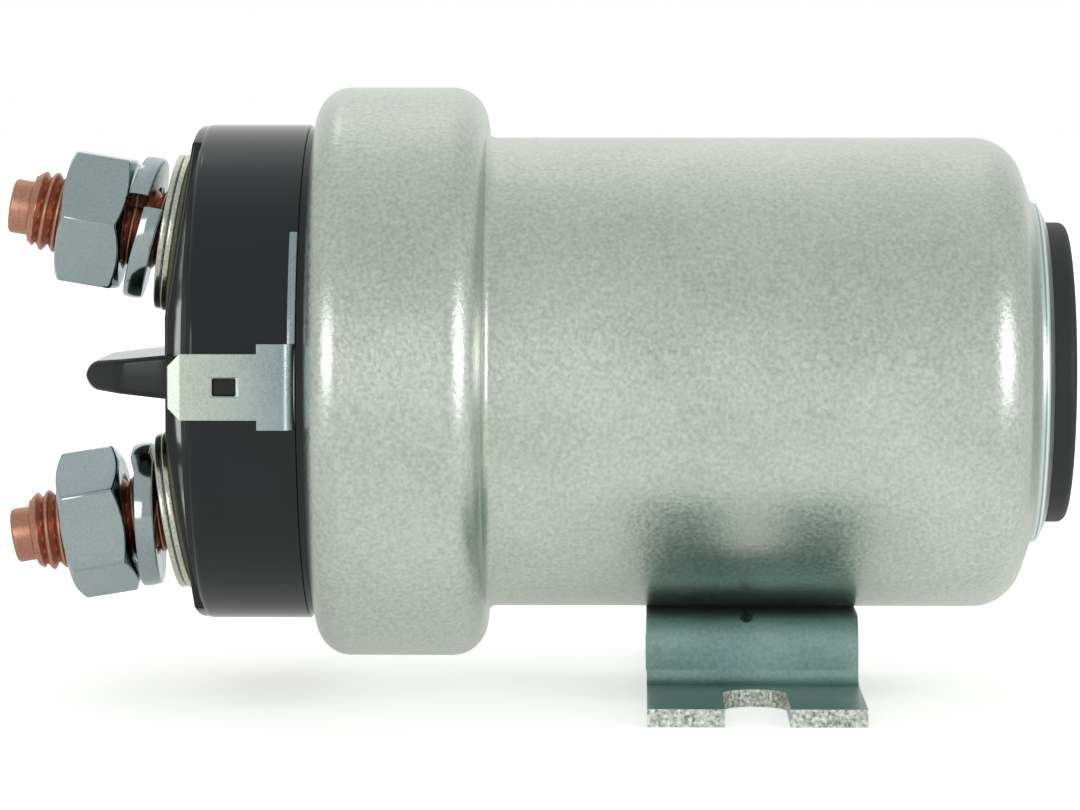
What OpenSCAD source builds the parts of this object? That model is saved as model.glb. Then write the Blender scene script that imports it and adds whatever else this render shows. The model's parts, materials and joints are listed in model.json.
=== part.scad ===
// Starter solenoid relay: a drawn steel can with a coil and plunger inside, a black
// moulded cap that carries two copper studs and a blade terminal, and a foot bracket.
// X runs along the plunger towards the end plug, Z is up, and the origin is the centre
// of the bracket on the surface that it is bolted to.

/* [Can] */
// Outer diameter of the drawn body
can_d = 46.9; // [44:0.1:52]
// Thickness of the drawn sheet
sheet_t = 1.3; // [0.9:0.05:1.5]
// From the bracket's centre back to the shoulder of the wide end
shoulder_back = 26.3; // [24:0.1:30]
// From the bracket's centre to the foot of the end collar
end_ahead = 27.7; // [26:0.1:32]
// Outer radius of the bend between the body and its end wall
end_bend_r = 3.6; // [2.5:0.1:4.5]
// How far the end wall bulges between its bend and the collar
end_bulge = 1.1; // [0.6:0.1:1.6]
// Radius of the collar where it rises from the end wall
collar_r = 17.2; // [16:0.1:18.5]
// Height of the collar
collar_h = 1.8; // [1.2:0.1:2.6]
// How far the collar draws in over its height
collar_draw = 2.1; // [1:0.1:2.8]

/* [Rolled flange] */
// Outer diameter of the wide end that is rolled over the cap
flange_d = 56.9; // [55.6:0.1:60]
// Length of the wide end
flange_len = 16.9; // [15.5:0.1:20]
// Outer radius of the rolled rim
rim_r = 3.3; // [2.5:0.1:3.6]
// Outer radius of the shoulder bend
shoulder_r = 3.2; // [2.5:0.1:4]
// Radius of the hollow bend where the shoulder meets the body
neck_r = 1; // [0.6:0.1:1.6]

/* [Foot bracket] */
// Height of the can's underside above the mounting surface
bracket_h = 8.25; // [7:0.05:14]
// Width of the bracket along the can
bracket_w = 20.8; // [16:0.1:26]
// Thickness of the bracket's strip
strip_t = 1.7; // [1.2:0.1:2.2]
// Distance between the outer faces of the two legs
leg_span = 22; // [19:0.1:26]
// Distance between the outer edges of the two feet
foot_span = 60.8; // [56:0.1:70]
// Outer radius of the bend from the web into a leg
web_bend_r = 3; // [2.4:0.1:4]
// Inner radius of the bend from a leg into its foot
foot_bend_r = 1.4; // [0.8:0.1:2]
// Width of the open bolt slots
slot_w = 6.2; // [5:0.1:7]
// Distance between the round closed ends of the two slots
slot_span = 31.6; // [30:0.1:36]
// Radius of the groove pressed across each web bend
mark_r = 0.7; // [0.5:0.05:1.1]
// Distance of the groove from the bracket's centre, along the can
mark_off = 0.6; // [0:0.1:4]
// Where the groove starts, counted from the middle of the web
mark_in = 4; // [3:0.1:6]

/* [Terminal cap] */
// Outer diameter of the moulded cap
cap_d = 49.44; // [48:0.02:50]
// How far the cap's ridge stands out of the rolled rim
cap_out = 14.8; // [14.5:0.1:18]
// Radius of the shallow dome on the cap's end
dome_r = 97; // [90:1:160]
// How far the top of the dome lies below the ridge
dome_drop = 0.4; // [0.2:0.1:0.8]
// Width of the cap's bevelled edge, measured on its radius
cap_bevel_w = 3.1; // [2:0.1:3.6]
// Depth of the bevelled edge along the cap
cap_bevel_d = 0.9; // [0.5:0.1:1.6]
// Thickness of the cap's end wall at the crown
cap_wall = 7.1; // [6.4:0.1:8]
// Diameter of the contact chamber
chamber_d = 41; // [40.6:0.1:42]
// Step of the narrow ledge beside the rolled rim
ledge_step = 0.3; // [0.1:0.05:0.5]
// Width of that ledge
ledge_w = 0.75; // [0.3:0.05:1.2]
// Length of the barrier between the studs
barrier_len = 8; // [6:0.1:10]
// Thickness of the barrier at its root
barrier_root = 4.3; // [3.4:0.1:5]
// Thickness of the barrier at its tip
barrier_tip = 3; // [2:0.1:3.4]
// Width of the barrier across the cap
barrier_w = 21; // [16:0.5:26]
// How far the barrier's sides lean in towards its tip
barrier_lean = 2.6; // [1:0.1:4]
// Width of the raised pad that both studs stand on
pad_w = 17.4; // [16.8:0.1:18]

/* [Terminal studs] */
// Distance of each stud from the relay's axis at its seat
stud_off = 13.85; // [13.6:0.05:15]
// How far each seat's centre stands out of the rolled rim
seat_out = 13.9; // [13.6:0.1:14.6]
// Angle by which each stud leans outwards
stud_lean = 9.4; // [4:0.2:11]
// Diameter of the stud's thread
stud_d = 8; // [6:0.1:8.2]
// Pitch diameter, at which the engaged threads are drawn
pitch_d = 7.19; // [5.4:0.01:7.3]
// Length of the stud from its seat to the end of the thread
thread_len = 15.3; // [14:0.1:18]
// Diameter of the plain point on the stud's end
point_d = 5.5; // [4:0.1:6]
// Length of the plain point
point_len = 1.9; // [1:0.1:3]
// Diameter of the stud's head inside the cap
head_d = 14; // [13:0.1:14.4]
// Thickness of the cap between a stud's seat and its head
seat_wall = 5.5; // [4.6:0.1:5.8]
// How far the contact faces stand into the chamber
contact_in = 2.8; // [2.4:0.1:3.4]

/* [Terminal hardware] */
// Width across the flats of the nuts
nut_af = 13; // [11:0.1:14]
// Height of the nuts
nut_h = 6.5; // [5:0.1:7]
// Angle by which the upper nut is turned
upper_nut_turn = 30; // [0:0.5:60]
// Angle by which the lower nut is turned
lower_nut_turn = 57.5; // [0:0.5:60]
// Outer diameter of the flat washers
washer_d = 15.9; // [14.5:0.1:16.6]
// Thickness of a flat washer
washer_t = 0.7; // [0.5:0.05:1]
// Outer diameter of the split spring washers
spring_washer_d = 14.5; // [13:0.1:15]
// Thickness of the spring washer's wire
spring_washer_t = 2; // [1.4:0.1:2.2]
// Free height of the spring washer
spring_washer_h = 3.8; // [2.9:0.1:4.2]
// Outer diameter of the fibre seal under the washers
seal_d = 16.4; // [15:0.1:16.7]
// Thickness of the fibre seal
seal_t = 0.4; // [0.2:0.05:0.8]

/* [Blade terminal] */
// Width of the blade
blade_w = 6.3; // [4.8:0.1:6.6]
// Width of the blade's shoulder
shoulder_w = 8.2; // [7:0.1:9]
// Thickness of the blade
blade_t = 0.8; // [0.5:0.05:0.9]
// Length of the blade from its tip to its bend
blade_len = 12.1; // [10:0.1:13]
// Length of the wide shoulder beside the bend
shoulder_len = 3.6; // [2:0.1:4]
// Length of the bevel at the tip
tip_bevel = 1.2; // [0.6:0.1:1.6]
// Length of the locking hole
lock_len = 2.3; // [1.5:0.1:3]
// Width of the locking hole
lock_w = 1.7; // [1.2:0.1:2.5]
// Distance from the blade's tip to the centre of the locking hole
lock_from_tip = 5.4; // [4:0.1:6.5]
// Gap between the blade and the cap
blade_gap = 0.4; // [0.3:0.05:1]
// Height above the axis that the terminal's strip reaches
strip_top = 14; // [8:0.1:15]
// How far the terminal's strip stands out of the cap
strip_proud = 0.35; // [0.1:0.05:0.8]

/* [Magnet and coil] */
// Thickness of the pole plate
plate_t = 5; // [4:0.1:6]
// Thickness of the gasket under the cap
gasket_t = 1; // [0.6:0.1:1.4]
// Diameter of the bore that the plunger slides in
guide_d = 17.3; // [15:0.1:18]
// Wall of the brass guide tube
guide_wall = 0.6; // [0.4:0.05:0.8]
// Length of the fixed core inside the coil
core_len = 21.6; // [16:0.1:24]
// Wall of the coil bobbin
bobbin_wall = 1; // [0.7:0.1:1.4]
// Outer diameter of the bobbin's ends
bobbin_d = 43.2; // [42.8:0.1:43.8]
// Outer diameter of the winding
winding_d = 39.4; // [36:0.1:40]
// Thickness of the wrapping round the winding
wrap_t = 0.35; // [0.2:0.05:0.5]
// Thickness of the yoke ring at the closed end
yoke_t = 4.4; // [3.6:0.1:5]
// Diameter of the coil's lead wires
lead_d = 0.9; // [0.6:0.1:1.2]
// Distance of the lead wires from the outside of the winding
lead_inset = 0.7; // [0.5:0.1:0.8]

/* [Plunger and contact] */
// Travel of the plunger
travel = 4; // [3:0.1:5]
// How far the plunger goes on after the contacts have met
over_travel = 1; // [0.5:0.1:1.4]
// Gap that is left between the plunger and the core when it is pulled in
shim_gap = 0.3; // [0.1:0.05:0.5]
// Diameter of the rod inside the core
rod_d = 6.4; // [5.5:0.1:6.8]
// Diameter of the rod's front end
rod_front_d = 5; // [4:0.1:5.2]
// Gap between the edge of the contact disc and what stands nearest round it
disc_gap = 1; // [0.8:0.1:2]
// Thickness of the contact disc
disc_t = 2.2; // [1.6:0.1:2.6]
// Diameter of the insulating bush inside the disc
bush_d = 8.2; // [7.8:0.1:8.6]
// Diameter of the insulating ring in front of the disc
front_ring_d = 10.2; // [9.8:0.1:10.4]
// Thickness of the insulating ring
front_ring_t = 1.5; // [1:0.1:1.8]
// Diameter of the bush's flange behind the disc
bush_flange_d = 15; // [13:0.1:18]
// Thickness of that flange
bush_flange_t = 1.5; // [1:0.1:2]
// Thickness of the clip on the rod's front end
clip_t = 0.8; // [0.5:0.05:1]
// Thickness of the washer that the contact spring rests on
seat_washer_t = 1; // [0.8:0.1:1.4]
// Length of the contact spring at rest
contact_spring_len = 5.2; // [4.4:0.1:6]
// Wire of the contact spring
contact_wire = 1; // [0.7:0.05:1.1]
// Mean diameter of the contact spring
contact_spring_d = 9.4; // [8.8:0.1:11]
// Curls of the contact spring
contact_curls = 2.5; // [2:0.5:3]
// Wire of the return spring
return_wire = 0.9; // [0.6:0.05:1]
// Mean diameter of the return spring
return_spring_d = 9; // [8.8:0.1:9.4]
// Curls of the return spring
return_curls = 8; // [5:0.5:9]
// Depth of the spring's pocket in the core and in the plunger
spring_pocket = 6; // [5:0.1:8]

/* [End plug] */
// Diameter of the rubber plug's disc
plug_d = 30; // [29.4:0.1:30.2]
// Thickness of the plug's disc
plug_t = 1.85; // [1.2:0.05:3]
// Rounding of the plug's edge
plug_round = 0.8; // [0.3:0.05:1]
// Diameter of the opening that the plug closes
mouth_d = 27; // [24:0.1:27.6]
// Thickness of the stop washer behind the plug
stop_t = 1.2; // [0.8:0.1:1.6]

/* [Hidden] */

// Faces in a full turn, steps in a quarter bend, and the overrun of every cut
$fn = 96;
bend_steps = 6;
overrun = 2 * sheet_t;

// Clearances: a running fit, a fixed fit, a gap between stacked pieces, a loose hole
running_fit = 0.05;
fixed_fit = 0.03;
stack_gap = 0.03;
loose_fit = 0.2;

can_r = can_d / 2;
flange_r = flange_d / 2;
cap_r = cap_d / 2;
axis_z = bracket_h + can_r + stack_gap;

// Stations along the relay, from the cap's ridge to the plug
x_shoulder = -shoulder_back;
x_rim = x_shoulder - flange_len;
x_crown = x_rim - cap_out;
x_seat = x_rim - seat_out;
x_chamber = x_crown + cap_wall;
x_contact = x_chamber + contact_in;
x_plate = x_shoulder - sheet_t;
x_plate_left = x_plate - plate_t;
x_gasket_left = x_plate_left - gasket_t;
x_cap_ledge = x_rim + sheet_t;
x_end = end_ahead;
x_collar = x_end + collar_h;
x_plug = x_collar + plug_t;
x_mouth = x_collar - sheet_t;

// The end wall's bend sits back from the collar by the bulge and by its own reach
bulge_angle = 72;
x_end_bend = x_end - end_bulge - end_bend_r;
end_bend_off = can_r - end_bend_r;
fold_share = 0.6;
collar_top_r = collar_r - collar_draw;
mouth_r = mouth_d / 2;
lip_r = cap_r + stack_gap * 4;

// The bore that the plunger slides in, and what stands round it
guide_r = guide_d / 2;
tube_r = guide_r + guide_wall;
bobbin_r = tube_r + running_fit + bobbin_wall;
plunger_r = guide_r - running_fit;
rod_r = rod_d / 2;
rod_front_r = rod_front_d / 2;
winding_r = winding_d / 2;
lead_off = winding_r - lead_inset;
solder_r = lead_d;

x_core_face = x_plate + core_len;
x_plunger_face = x_core_face + travel + shim_gap;
x_stop_right = x_mouth - stack_gap;
x_stop = x_stop_right - stop_t;
x_plunger_end = x_stop - stack_gap;
x_yoke_right = x_stop - stack_gap;
x_yoke = x_yoke_right - yoke_t;
x_bobbin_left = x_plate + stack_gap;
x_bobbin_right = x_yoke - stack_gap;
bobbin_end_share = 1.4;
bobbin_end = bobbin_end_share * bobbin_wall;
x_winding_left = x_bobbin_left + bobbin_end + stack_gap;
x_winding_right = x_bobbin_right - bobbin_end - stack_gap;

// The contact disc waits one gap behind the contact faces
touch_gap = 0.1;
contact_gap = travel - over_travel + touch_gap;
x_disc = x_contact + contact_gap;
x_disc_back = x_disc + disc_t;
x_ring_front = x_disc - front_ring_t - 2 * stack_gap;
x_bush_back = x_disc_back + bush_flange_t + stack_gap;
x_clip = x_ring_front - clip_t - stack_gap;
rod_nose = clip_t;
x_rod_tip = x_clip - rod_nose;
x_spring_seat = x_bush_back + contact_spring_len + 2 * stack_gap;
x_rod_step = x_spring_seat + seat_washer_t + stack_gap;
rod_in_plunger = 2 * rod_d;
x_rod_end = x_plunger_face + spring_pocket + rod_in_plunger;

// Places along a stud, counted outwards from the seat of its washers
s_head = -seat_wall;
s_pad = -seal_t - stack_gap;
s_spring_washer = 2 * (washer_t + stack_gap);
s_nut = s_spring_washer + spring_washer_h + stack_gap;
s_nut_top = s_nut + nut_h;
s_free = s_nut_top + stack_gap * 3;
lower_side = -1;
upper_side = 1;

// Length of a stud's head before it is cut square to the axis, and the room in the cap
// that the rod's front end and its insulating ring move in
head_h = 6;
recess_fit = 0.5;

// The blade lies over the cap's near side, its strip in a slot of the cap
y_blade = -(cap_r + blade_gap);
x_blade_bend = x_rim - ledge_w - blade_t;
x_blade_tip = x_blade_bend - blade_len + blade_t;
strip_in_r = lead_off - lead_d / 2 - stack_gap;
strip_out_r = cap_r + strip_proud;
slot_fit = 0.05;
near_side = -1;
far_side = 1;

// The contact disc keeps clear of the chamber's wall and of the strip's inner end
disc_r = min(chamber_d / 2, strip_in_r) - disc_gap;

// Points of an arc in a profile, where the first number is the radius from the axis
function arc(centre, r, from, to) =
    [for (i = [0 : bend_steps])
        let (a = from + (to - from) * i / bend_steps)
        [centre[0] + r * sin(a), centre[1] + r * cos(a)]];

// Everything that is turned lies on the relay's axis
module on_axis() {
    translate([0, 0, axis_z]) rotate([0, 90, 0]) children();
}

module turned(points) {
    on_axis() rotate_extrude() polygon(points);
}

module ring(inner_r, outer_r, from, to) {
    on_axis() translate([0, 0, from]) difference() {
        cylinder(r = outer_r, h = to - from);
        translate([0, 0, -overrun]) cylinder(r = inner_r, h = to - from + 2 * overrun);
    }
}

// Places a piece on a stud's seat, with its own Z outwards along the stud
module on_stud(side) {
    translate([x_seat, 0, axis_z + side * stud_off])
        rotate([0, side * stud_lean - 90, 0]) children();
}

// The direction in which a line of points runs at one of them
function heading_at(points, i) =
    let (n = len(points) - 1,
         ahead = points[min(i + 1, n)] - points[max(i - 1, 0)])
    ahead / norm(ahead);

// An unbroken tube through rings of points, closed at both ends
module swept(rings) {
    sides = len(rings[0]);
    count = len(rings);
    walls = [for (i = [0 : count - 2], j = [0 : sides - 1])
        let (a = i * sides + j, b = i * sides + (j + 1) % sides)
        each [[a, b, a + sides], [b, b + sides, a + sides]]];
    first = [for (j = [1 : sides - 2]) [0, j + 1, j]];
    last = [for (j = [1 : sides - 2])
        [(count - 1) * sides, (count - 1) * sides + j, (count - 1) * sides + j + 1]];
    polyhedron(points = [for (r = rings) each r], faces = concat(first, walls, last));
}

// A coil spring along Z, as one unbroken tube of 8 rings a curl and 6 sides
curl_rings = 8;
wire_sides = 6;

function coil_points(mean_r, wire, length, curls) =
    [for (i = [0 : round(curls * curl_rings)])
        let (turn = i / curl_rings)
        [mean_r * cos(360 * turn), mean_r * sin(360 * turn),
         wire / 2 + (length - wire) * turn / curls]];

function wire_ring(points, i, r) =
    let (p = points[i],
         along = heading_at(points, i),
         radial = [p[0], p[1], 0],
         out = radial - along * (radial * along),
         u = out / norm(out),
         v = cross(along, u))
    [for (k = [0 : wire_sides - 1]) let (a = 360 * k / wire_sides)
        p + r * (u * cos(a) + v * sin(a))];

function coil_gap(points, wire) =
    min([for (i = [0 : len(points) - curl_rings], j = [i + curl_rings - 2 : len(points) - 1])
        norm(points[i] - points[j])]) - wire;

module coil_spring(mean_r, wire, length, curls) {
    points = coil_points(mean_r, wire, length, curls);
    echo(least_gap_between_curls = coil_gap(points, wire));
    swept([for (i = [0 : len(points) - 1]) wire_ring(points, i, wire / 2)]);
}

// One turn of flat wire that climbs, as a split spring washer does. The washer lies a little
// askew, and its shares of the free height are its start, its climb and its lean.
washer_rings = 28;
split_angle = 12;

module split_washer(outer_r, inner_r, thick, height, split, shares) {
    turn = 360 - split_angle;
    swept([for (i = [0 : washer_rings])
        let (a = split - split_angle / 2 - turn * i / washer_rings,
             rise = shares[0] + shares[1] * i / washer_rings - shares[2] * cos(a),
             d = [cos(a), sin(a), 0],
             low = [0, 0, (height - thick) * rise],
             high = low + [0, 0, thick])
        [inner_r * d + low, inner_r * d + high, outer_r * d + high, outer_r * d + low]]);
}

// Drawn steel can: the wide end is rolled over the cap's flange
module can() {
    outer = concat(
        [[lip_r, x_rim]],
        arc([flange_r - rim_r, x_rim + rim_r], rim_r, 180, 90),
        arc([flange_r - shoulder_r, x_shoulder - shoulder_r], shoulder_r, 90, 0),
        arc([can_r + neck_r, x_shoulder + neck_r], neck_r, 180, 270),
        arc([end_bend_off, x_end_bend], end_bend_r, 90, 90 - bulge_angle),
        [[collar_r, x_end], [collar_top_r, x_collar], [mouth_r, x_collar]]);
    inner = concat(
        [[mouth_r, x_mouth],
         [collar_top_r - fold_share * sheet_t, x_mouth],
         [collar_r - fold_share * sheet_t, x_end - sheet_t]],
        arc([end_bend_off, x_end_bend], end_bend_r - sheet_t, 90 - bulge_angle, 90),
        arc([can_r + neck_r, x_shoulder + neck_r], neck_r + sheet_t, 270, 180),
        arc([flange_r - shoulder_r, x_shoulder - shoulder_r], shoulder_r - sheet_t, 0, 90),
        arc([flange_r - rim_r, x_rim + rim_r], rim_r - sheet_t, 90, 180),
        [[lip_r, x_rim + sheet_t]]);
    color("silver") turned(concat(outer, inner));
}

// Foot bracket: one bent strip under the can, with an open bolt slot in each foot
module foot_bracket() {
    leg = leg_span / 2;
    foot = foot_span / 2;
    web_centre = [leg - web_bend_r, bracket_h - web_bend_r];
    foot_centre = [leg + foot_bend_r, strip_t + foot_bend_r];
    upper = concat(
        [[0, bracket_h]],
        arc(web_centre, web_bend_r, 0, 90),
        arc(foot_centre, foot_bend_r, 270, 180),
        [[foot, strip_t], [foot, 0]]);
    lower = concat(
        arc(foot_centre, foot_bend_r + strip_t, 180, 270),
        arc(web_centre, web_bend_r - strip_t, 90, 0),
        [[0, bracket_h - strip_t]]);
    slot_r = slot_w / 2;
    color("lightslategray") difference() {
        for (turn = [0, 180]) rotate([0, 0, turn]) translate([-bracket_w / 2, 0, 0])
            rotate([90, 0, 90]) linear_extrude(bracket_w) polygon(concat(upper, lower));
        for (turn = [0, 180]) rotate([0, 0, turn]) {
            translate([0, slot_span / 2 + slot_r, -overrun])
                cylinder(r = slot_r, h = strip_t + 2 * overrun);
            translate([-slot_r, slot_span / 2 + slot_r, -overrun])
                cube([slot_w, foot, strip_t + 2 * overrun]);
            translate([mark_off, mark_in, bracket_h]) rotate([-90, 0, 0])
                cylinder(r = mark_r, h = leg);
        }
    }
}

// The pad is a bar across the cap's end. It is flat in the middle and falls away square to
// each stud, so that the washers lie flat on it.
module stud_pad() {
    to_middle = stud_off / cos(stud_lean);
    intersection() {
        on_axis() translate([0, 0, x_crown]) cylinder(r = cap_r, h = cap_wall);
        for (side = [lower_side, upper_side])
            on_stud(side)
                translate([side * (cap_r - to_middle) - cap_r, -pad_w / 2, s_pad - cap_wall])
                    cube([2 * cap_r, pad_w, cap_wall]);
    }
}

// Moulded cap: a domed end, the pad for the studs and the barrier between them
module terminal_cap() {
    flange_out = flange_r - sheet_t - stack_gap * 3;
    corner = rim_r - sheet_t;
    sag = (cap_r - cap_bevel_w) * (cap_r - cap_bevel_w) / (2 * dome_r);
    x_dome = x_crown + dome_drop;
    x_bevel = x_dome + sag;
    ledge_r = cap_r - ledge_step;
    color("#25292b") difference() {
        union() {
            turned(concat(
                [[0, x_dome]],
                [for (i = [1 : bend_steps])
                    let (r = (cap_r - cap_bevel_w) * i / bend_steps)
                    [r, x_dome + r * r / (2 * dome_r)]],
                [[cap_r, x_bevel + cap_bevel_d],
                 [cap_r, x_rim - ledge_w], [ledge_r, x_rim - ledge_w],
                 [ledge_r, x_cap_ledge + stack_gap],
                 [flange_out - corner, x_cap_ledge + stack_gap],
                 [flange_out, x_cap_ledge + corner + stack_gap],
                 [flange_out, x_gasket_left - stack_gap],
                 [0, x_gasket_left - stack_gap]]));
            stud_pad();
            barrier();
        }
        on_axis() translate([0, 0, x_chamber]) cylinder(d = chamber_d, h = cap_out + flange_len);
        on_axis() translate([0, 0, x_rod_tip - travel - clip_t])
            cylinder(d = front_ring_d + 2 * recess_fit, h = travel + cap_wall);
        for (side = [lower_side, upper_side]) on_stud(side) {
            translate([0, 0, s_pad]) cylinder(d = pad_w, h = cap_wall);
            translate([0, 0, s_head - head_h]) cylinder(r = head_d / 2 + loose_fit, h = head_h);
            translate([0, 0, s_head - overrun])
                cylinder(r = stud_d / 2 + fixed_fit, h = seat_wall + 2 * overrun);
        }
        terminal_strip(slot_fit, chamber_d / 2 - overrun, cap_r + overrun);
        for (side = [near_side, far_side]) lead_channel(side);
    }
}

// The barrier is a wall across the cap, thinner towards its round tip
module barrier() {
    tip_r = barrier_tip / 2;
    half_root = barrier_root / 2;
    root_in = cap_wall / 2;
    x_tip = -barrier_len + tip_r;
    shelf_share = 0.55;
    shelf_w = barrier_w / 2 - barrier_lean / 3;
    nose_w = barrier_w / 2 - barrier_lean * 3 / 2;
    translate([x_crown, 0, axis_z]) intersection() {
        rotate([90, 0, 0]) translate([0, 0, -barrier_w / 2]) linear_extrude(barrier_w) {
            polygon([[root_in, -half_root], [root_in, half_root], [0, half_root],
                     [x_tip, tip_r], [x_tip, -tip_r], [0, -half_root]]);
            translate([x_tip, 0]) circle(r = tip_r);
        }
        translate([0, 0, -barrier_root]) linear_extrude(2 * barrier_root)
            polygon([[root_in, -barrier_w / 2], [root_in, barrier_w / 2], [0, barrier_w / 2],
                     [-barrier_len * shelf_share, shelf_w], [-barrier_len, nose_w],
                     [-barrier_len, -nose_w], [-barrier_len * shelf_share, -shelf_w],
                     [0, -barrier_w / 2]]);
    }
}

// Room for a lead wire and its drop of solder, from the blade's strip to the plate
module lead_channel(side) {
    translate([0, side * lead_off, axis_z]) rotate([0, 90, 0]) translate([0, 0, x_blade_bend])
        cylinder(r = solder_r + loose_fit, h = x_plate_left + overrun - x_blade_bend);
}

module cap_gasket() {
    color("saddlebrown") difference() {
        ring(chamber_d / 2, flange_r - sheet_t - stack_gap * 3, x_gasket_left, x_plate_left);
        for (side = [near_side, far_side]) lead_channel(side);
    }
}

// Pole plate: soft iron, seated on the can's shoulder, with a hole for each lead
module pole_plate() {
    corner = shoulder_r - sheet_t;
    plate_r = flange_r - sheet_t - stack_gap * 3;
    color("gray") difference() {
        turned([[core_stub_r(), x_plate_left + stack_gap], [plate_r, x_plate_left + stack_gap],
                [plate_r, x_plate - corner], [plate_r - corner, x_plate],
                [core_stub_r(), x_plate]]);
        for (side = [near_side, far_side])
            translate([0, side * lead_off, axis_z]) rotate([0, 90, 0])
                translate([0, 0, x_plate_left - overrun])
                    cylinder(d = lead_d + 2 * loose_fit, h = plate_t + 2 * overrun);
    }
}

stub_share = 0.8;
function core_stub_r() = stub_share * plunger_r;

// Fixed core: its stub is riveted in the plate and the rod passes through its bore
module fixed_core() {
    bore_r = rod_r + running_fit;
    pocket_r = return_spring_d / 2 + return_wire;
    nose_share = 0.12;
    nose = nose_share * plunger_r;
    color("dimgray") turned([
        [bore_r, x_plate_left], [core_stub_r() - fixed_fit, x_plate_left],
        [core_stub_r() - fixed_fit, x_plate + stack_gap], [plunger_r, x_plate + stack_gap],
        [plunger_r, x_core_face - nose], [plunger_r - nose, x_core_face],
        [pocket_r, x_core_face], [pocket_r, x_core_face - spring_pocket],
        [bore_r, x_core_face - spring_pocket]]);
}

module guide_tube() {
    color("goldenrod") ring(guide_r, tube_r, x_plate + 2 * stack_gap, x_stop - stack_gap);
}

// Bobbin: a tube with two ends, notched on one end for the lead wires
module coil_bobbin() {
    inner_r = tube_r + running_fit;
    end_r = bobbin_d / 2;
    color("ivory") difference() {
        turned([[inner_r, x_bobbin_left], [end_r, x_bobbin_left],
                [end_r, x_bobbin_left + bobbin_end], [bobbin_r, x_bobbin_left + bobbin_end],
                [bobbin_r, x_bobbin_right - bobbin_end], [end_r, x_bobbin_right - bobbin_end],
                [end_r, x_bobbin_right], [inner_r, x_bobbin_right]]);
        for (side = [near_side, far_side])
            translate([0, side * lead_off, axis_z]) rotate([0, 90, 0])
                translate([0, 0, x_bobbin_left - overrun])
                    cylinder(d = lead_d + 2 * loose_fit, h = bobbin_end + 2 * overrun);
    }
}

module coil_winding() {
    color("chocolate") ring(bobbin_r + stack_gap, winding_r, x_winding_left, x_winding_right);
}

module coil_wrap() {
    color("khaki")
        ring(winding_r + stack_gap, winding_r + stack_gap + wrap_t, x_winding_left, x_winding_right);
}

// A lead runs straight from the winding, through the bobbin and the plate
module coil_lead(side, x_far) {
    color("chocolate") translate([0, side * lead_off, axis_z]) rotate([0, 90, 0])
        translate([0, 0, x_far]) cylinder(d = lead_d, h = x_winding_left - stack_gap - x_far);
}

module coil_lead_live() {
    coil_lead(near_side, x_blade_bend + blade_t + stack_gap);
}

// The earth lead ends in a drop of solder on the plate's inner face
module coil_lead_earth() {
    coil_lead(far_side, x_plate_left - solder_r / 2);
    color("silver") translate([0, lead_off, axis_z]) rotate([0, -90, 0])
        translate([0, 0, -x_plate_left]) difference() {
            sphere(r = solder_r);
            translate([0, 0, -2 * solder_r]) cylinder(r = 2 * solder_r, h = 2 * solder_r);
        }
}

// Yoke ring: carries the field from the can's end into the plunger
module end_yoke() {
    inner_r = tube_r + running_fit;
    outer_r = can_r - sheet_t - stack_gap * 3;
    back_r = collar_r - fold_share * sheet_t - stack_gap;
    corner = end_bend_r - sheet_t;
    color("gray") turned([
        [inner_r, x_yoke], [outer_r, x_yoke],
        [outer_r, x_end_bend], [outer_r - corner, x_end_bend + corner - stack_gap],
        [back_r, x_end - sheet_t - stack_gap * 3], [back_r - collar_draw / 2, x_yoke_right],
        [inner_r, x_yoke_right]]);
}

module stop_washer() {
    color("goldenrod") ring(rod_r, mouth_r, x_stop, x_stop_right);
}

// Rubber plug: a disc outside the collar and a neck through the can's mouth
module end_plug() {
    neck_r = mouth_r - fixed_fit;
    plug_r = plug_d / 2;
    color("black") turned(concat(
        [[0, x_mouth], [neck_r, x_mouth], [neck_r, x_collar + stack_gap],
         [plug_r, x_collar + stack_gap]],
        arc([plug_r - plug_round, x_plug - plug_round], plug_round, 90, 0),
        [[0, x_plug]]));
}

// Copper stud: its head is cut square to the relay's axis, to meet the contact disc
module stud(side) {
    thread_r = stud_d / 2;
    thread_chamfer = (stud_d - pitch_d) / 2;
    color("chocolate") union() {
        intersection() {
            on_stud(side) translate([0, 0, s_head - head_h]) cylinder(d = head_d, h = head_h);
            translate([x_contact - 2 * head_d, -head_d, 0]) cube([2 * head_d, 2 * head_d, 2 * axis_z]);
        }
        on_stud(side) rotate_extrude() polygon([
            [0, s_head - stack_gap], [thread_r, s_head - stack_gap], [thread_r, s_nut],
            [pitch_d / 2, s_nut], [pitch_d / 2, s_free], [thread_r, s_free],
            [thread_r, thread_len - thread_chamfer],
            [thread_r - thread_chamfer, thread_len], [point_d / 2, thread_len],
            [point_d / 2, thread_len + point_len], [0, thread_len + point_len]]);
    }
}

module stud_upper() {
    stud(upper_side);
}

module stud_lower() {
    stud(lower_side);
}

module stud_ring(side, outer_d, from, thick) {
    on_stud(side) translate([0, 0, from]) difference() {
        cylinder(d = outer_d, h = thick);
        translate([0, 0, -overrun]) cylinder(r = stud_d / 2 + loose_fit, h = thick + 2 * overrun);
    }
}

module stud_seals() {
    color("darkkhaki") for (side = [lower_side, upper_side])
        stud_ring(side, seal_d, -seal_t - stack_gap / 2, seal_t);
}

module flat_washers() {
    color("silver") for (side = [lower_side, upper_side], i = [0, 1])
        stud_ring(side, washer_d, i * (washer_t + stack_gap), washer_t);
}

// Where the splits lie: 0 is up, 90 the far side, 270 the near side
upper_split = 294;
lower_split = 327;
upper_rise_shares = [0.14, 0.99, 0.32];
lower_rise_shares = [0.42, 0.26, 0.42];

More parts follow.
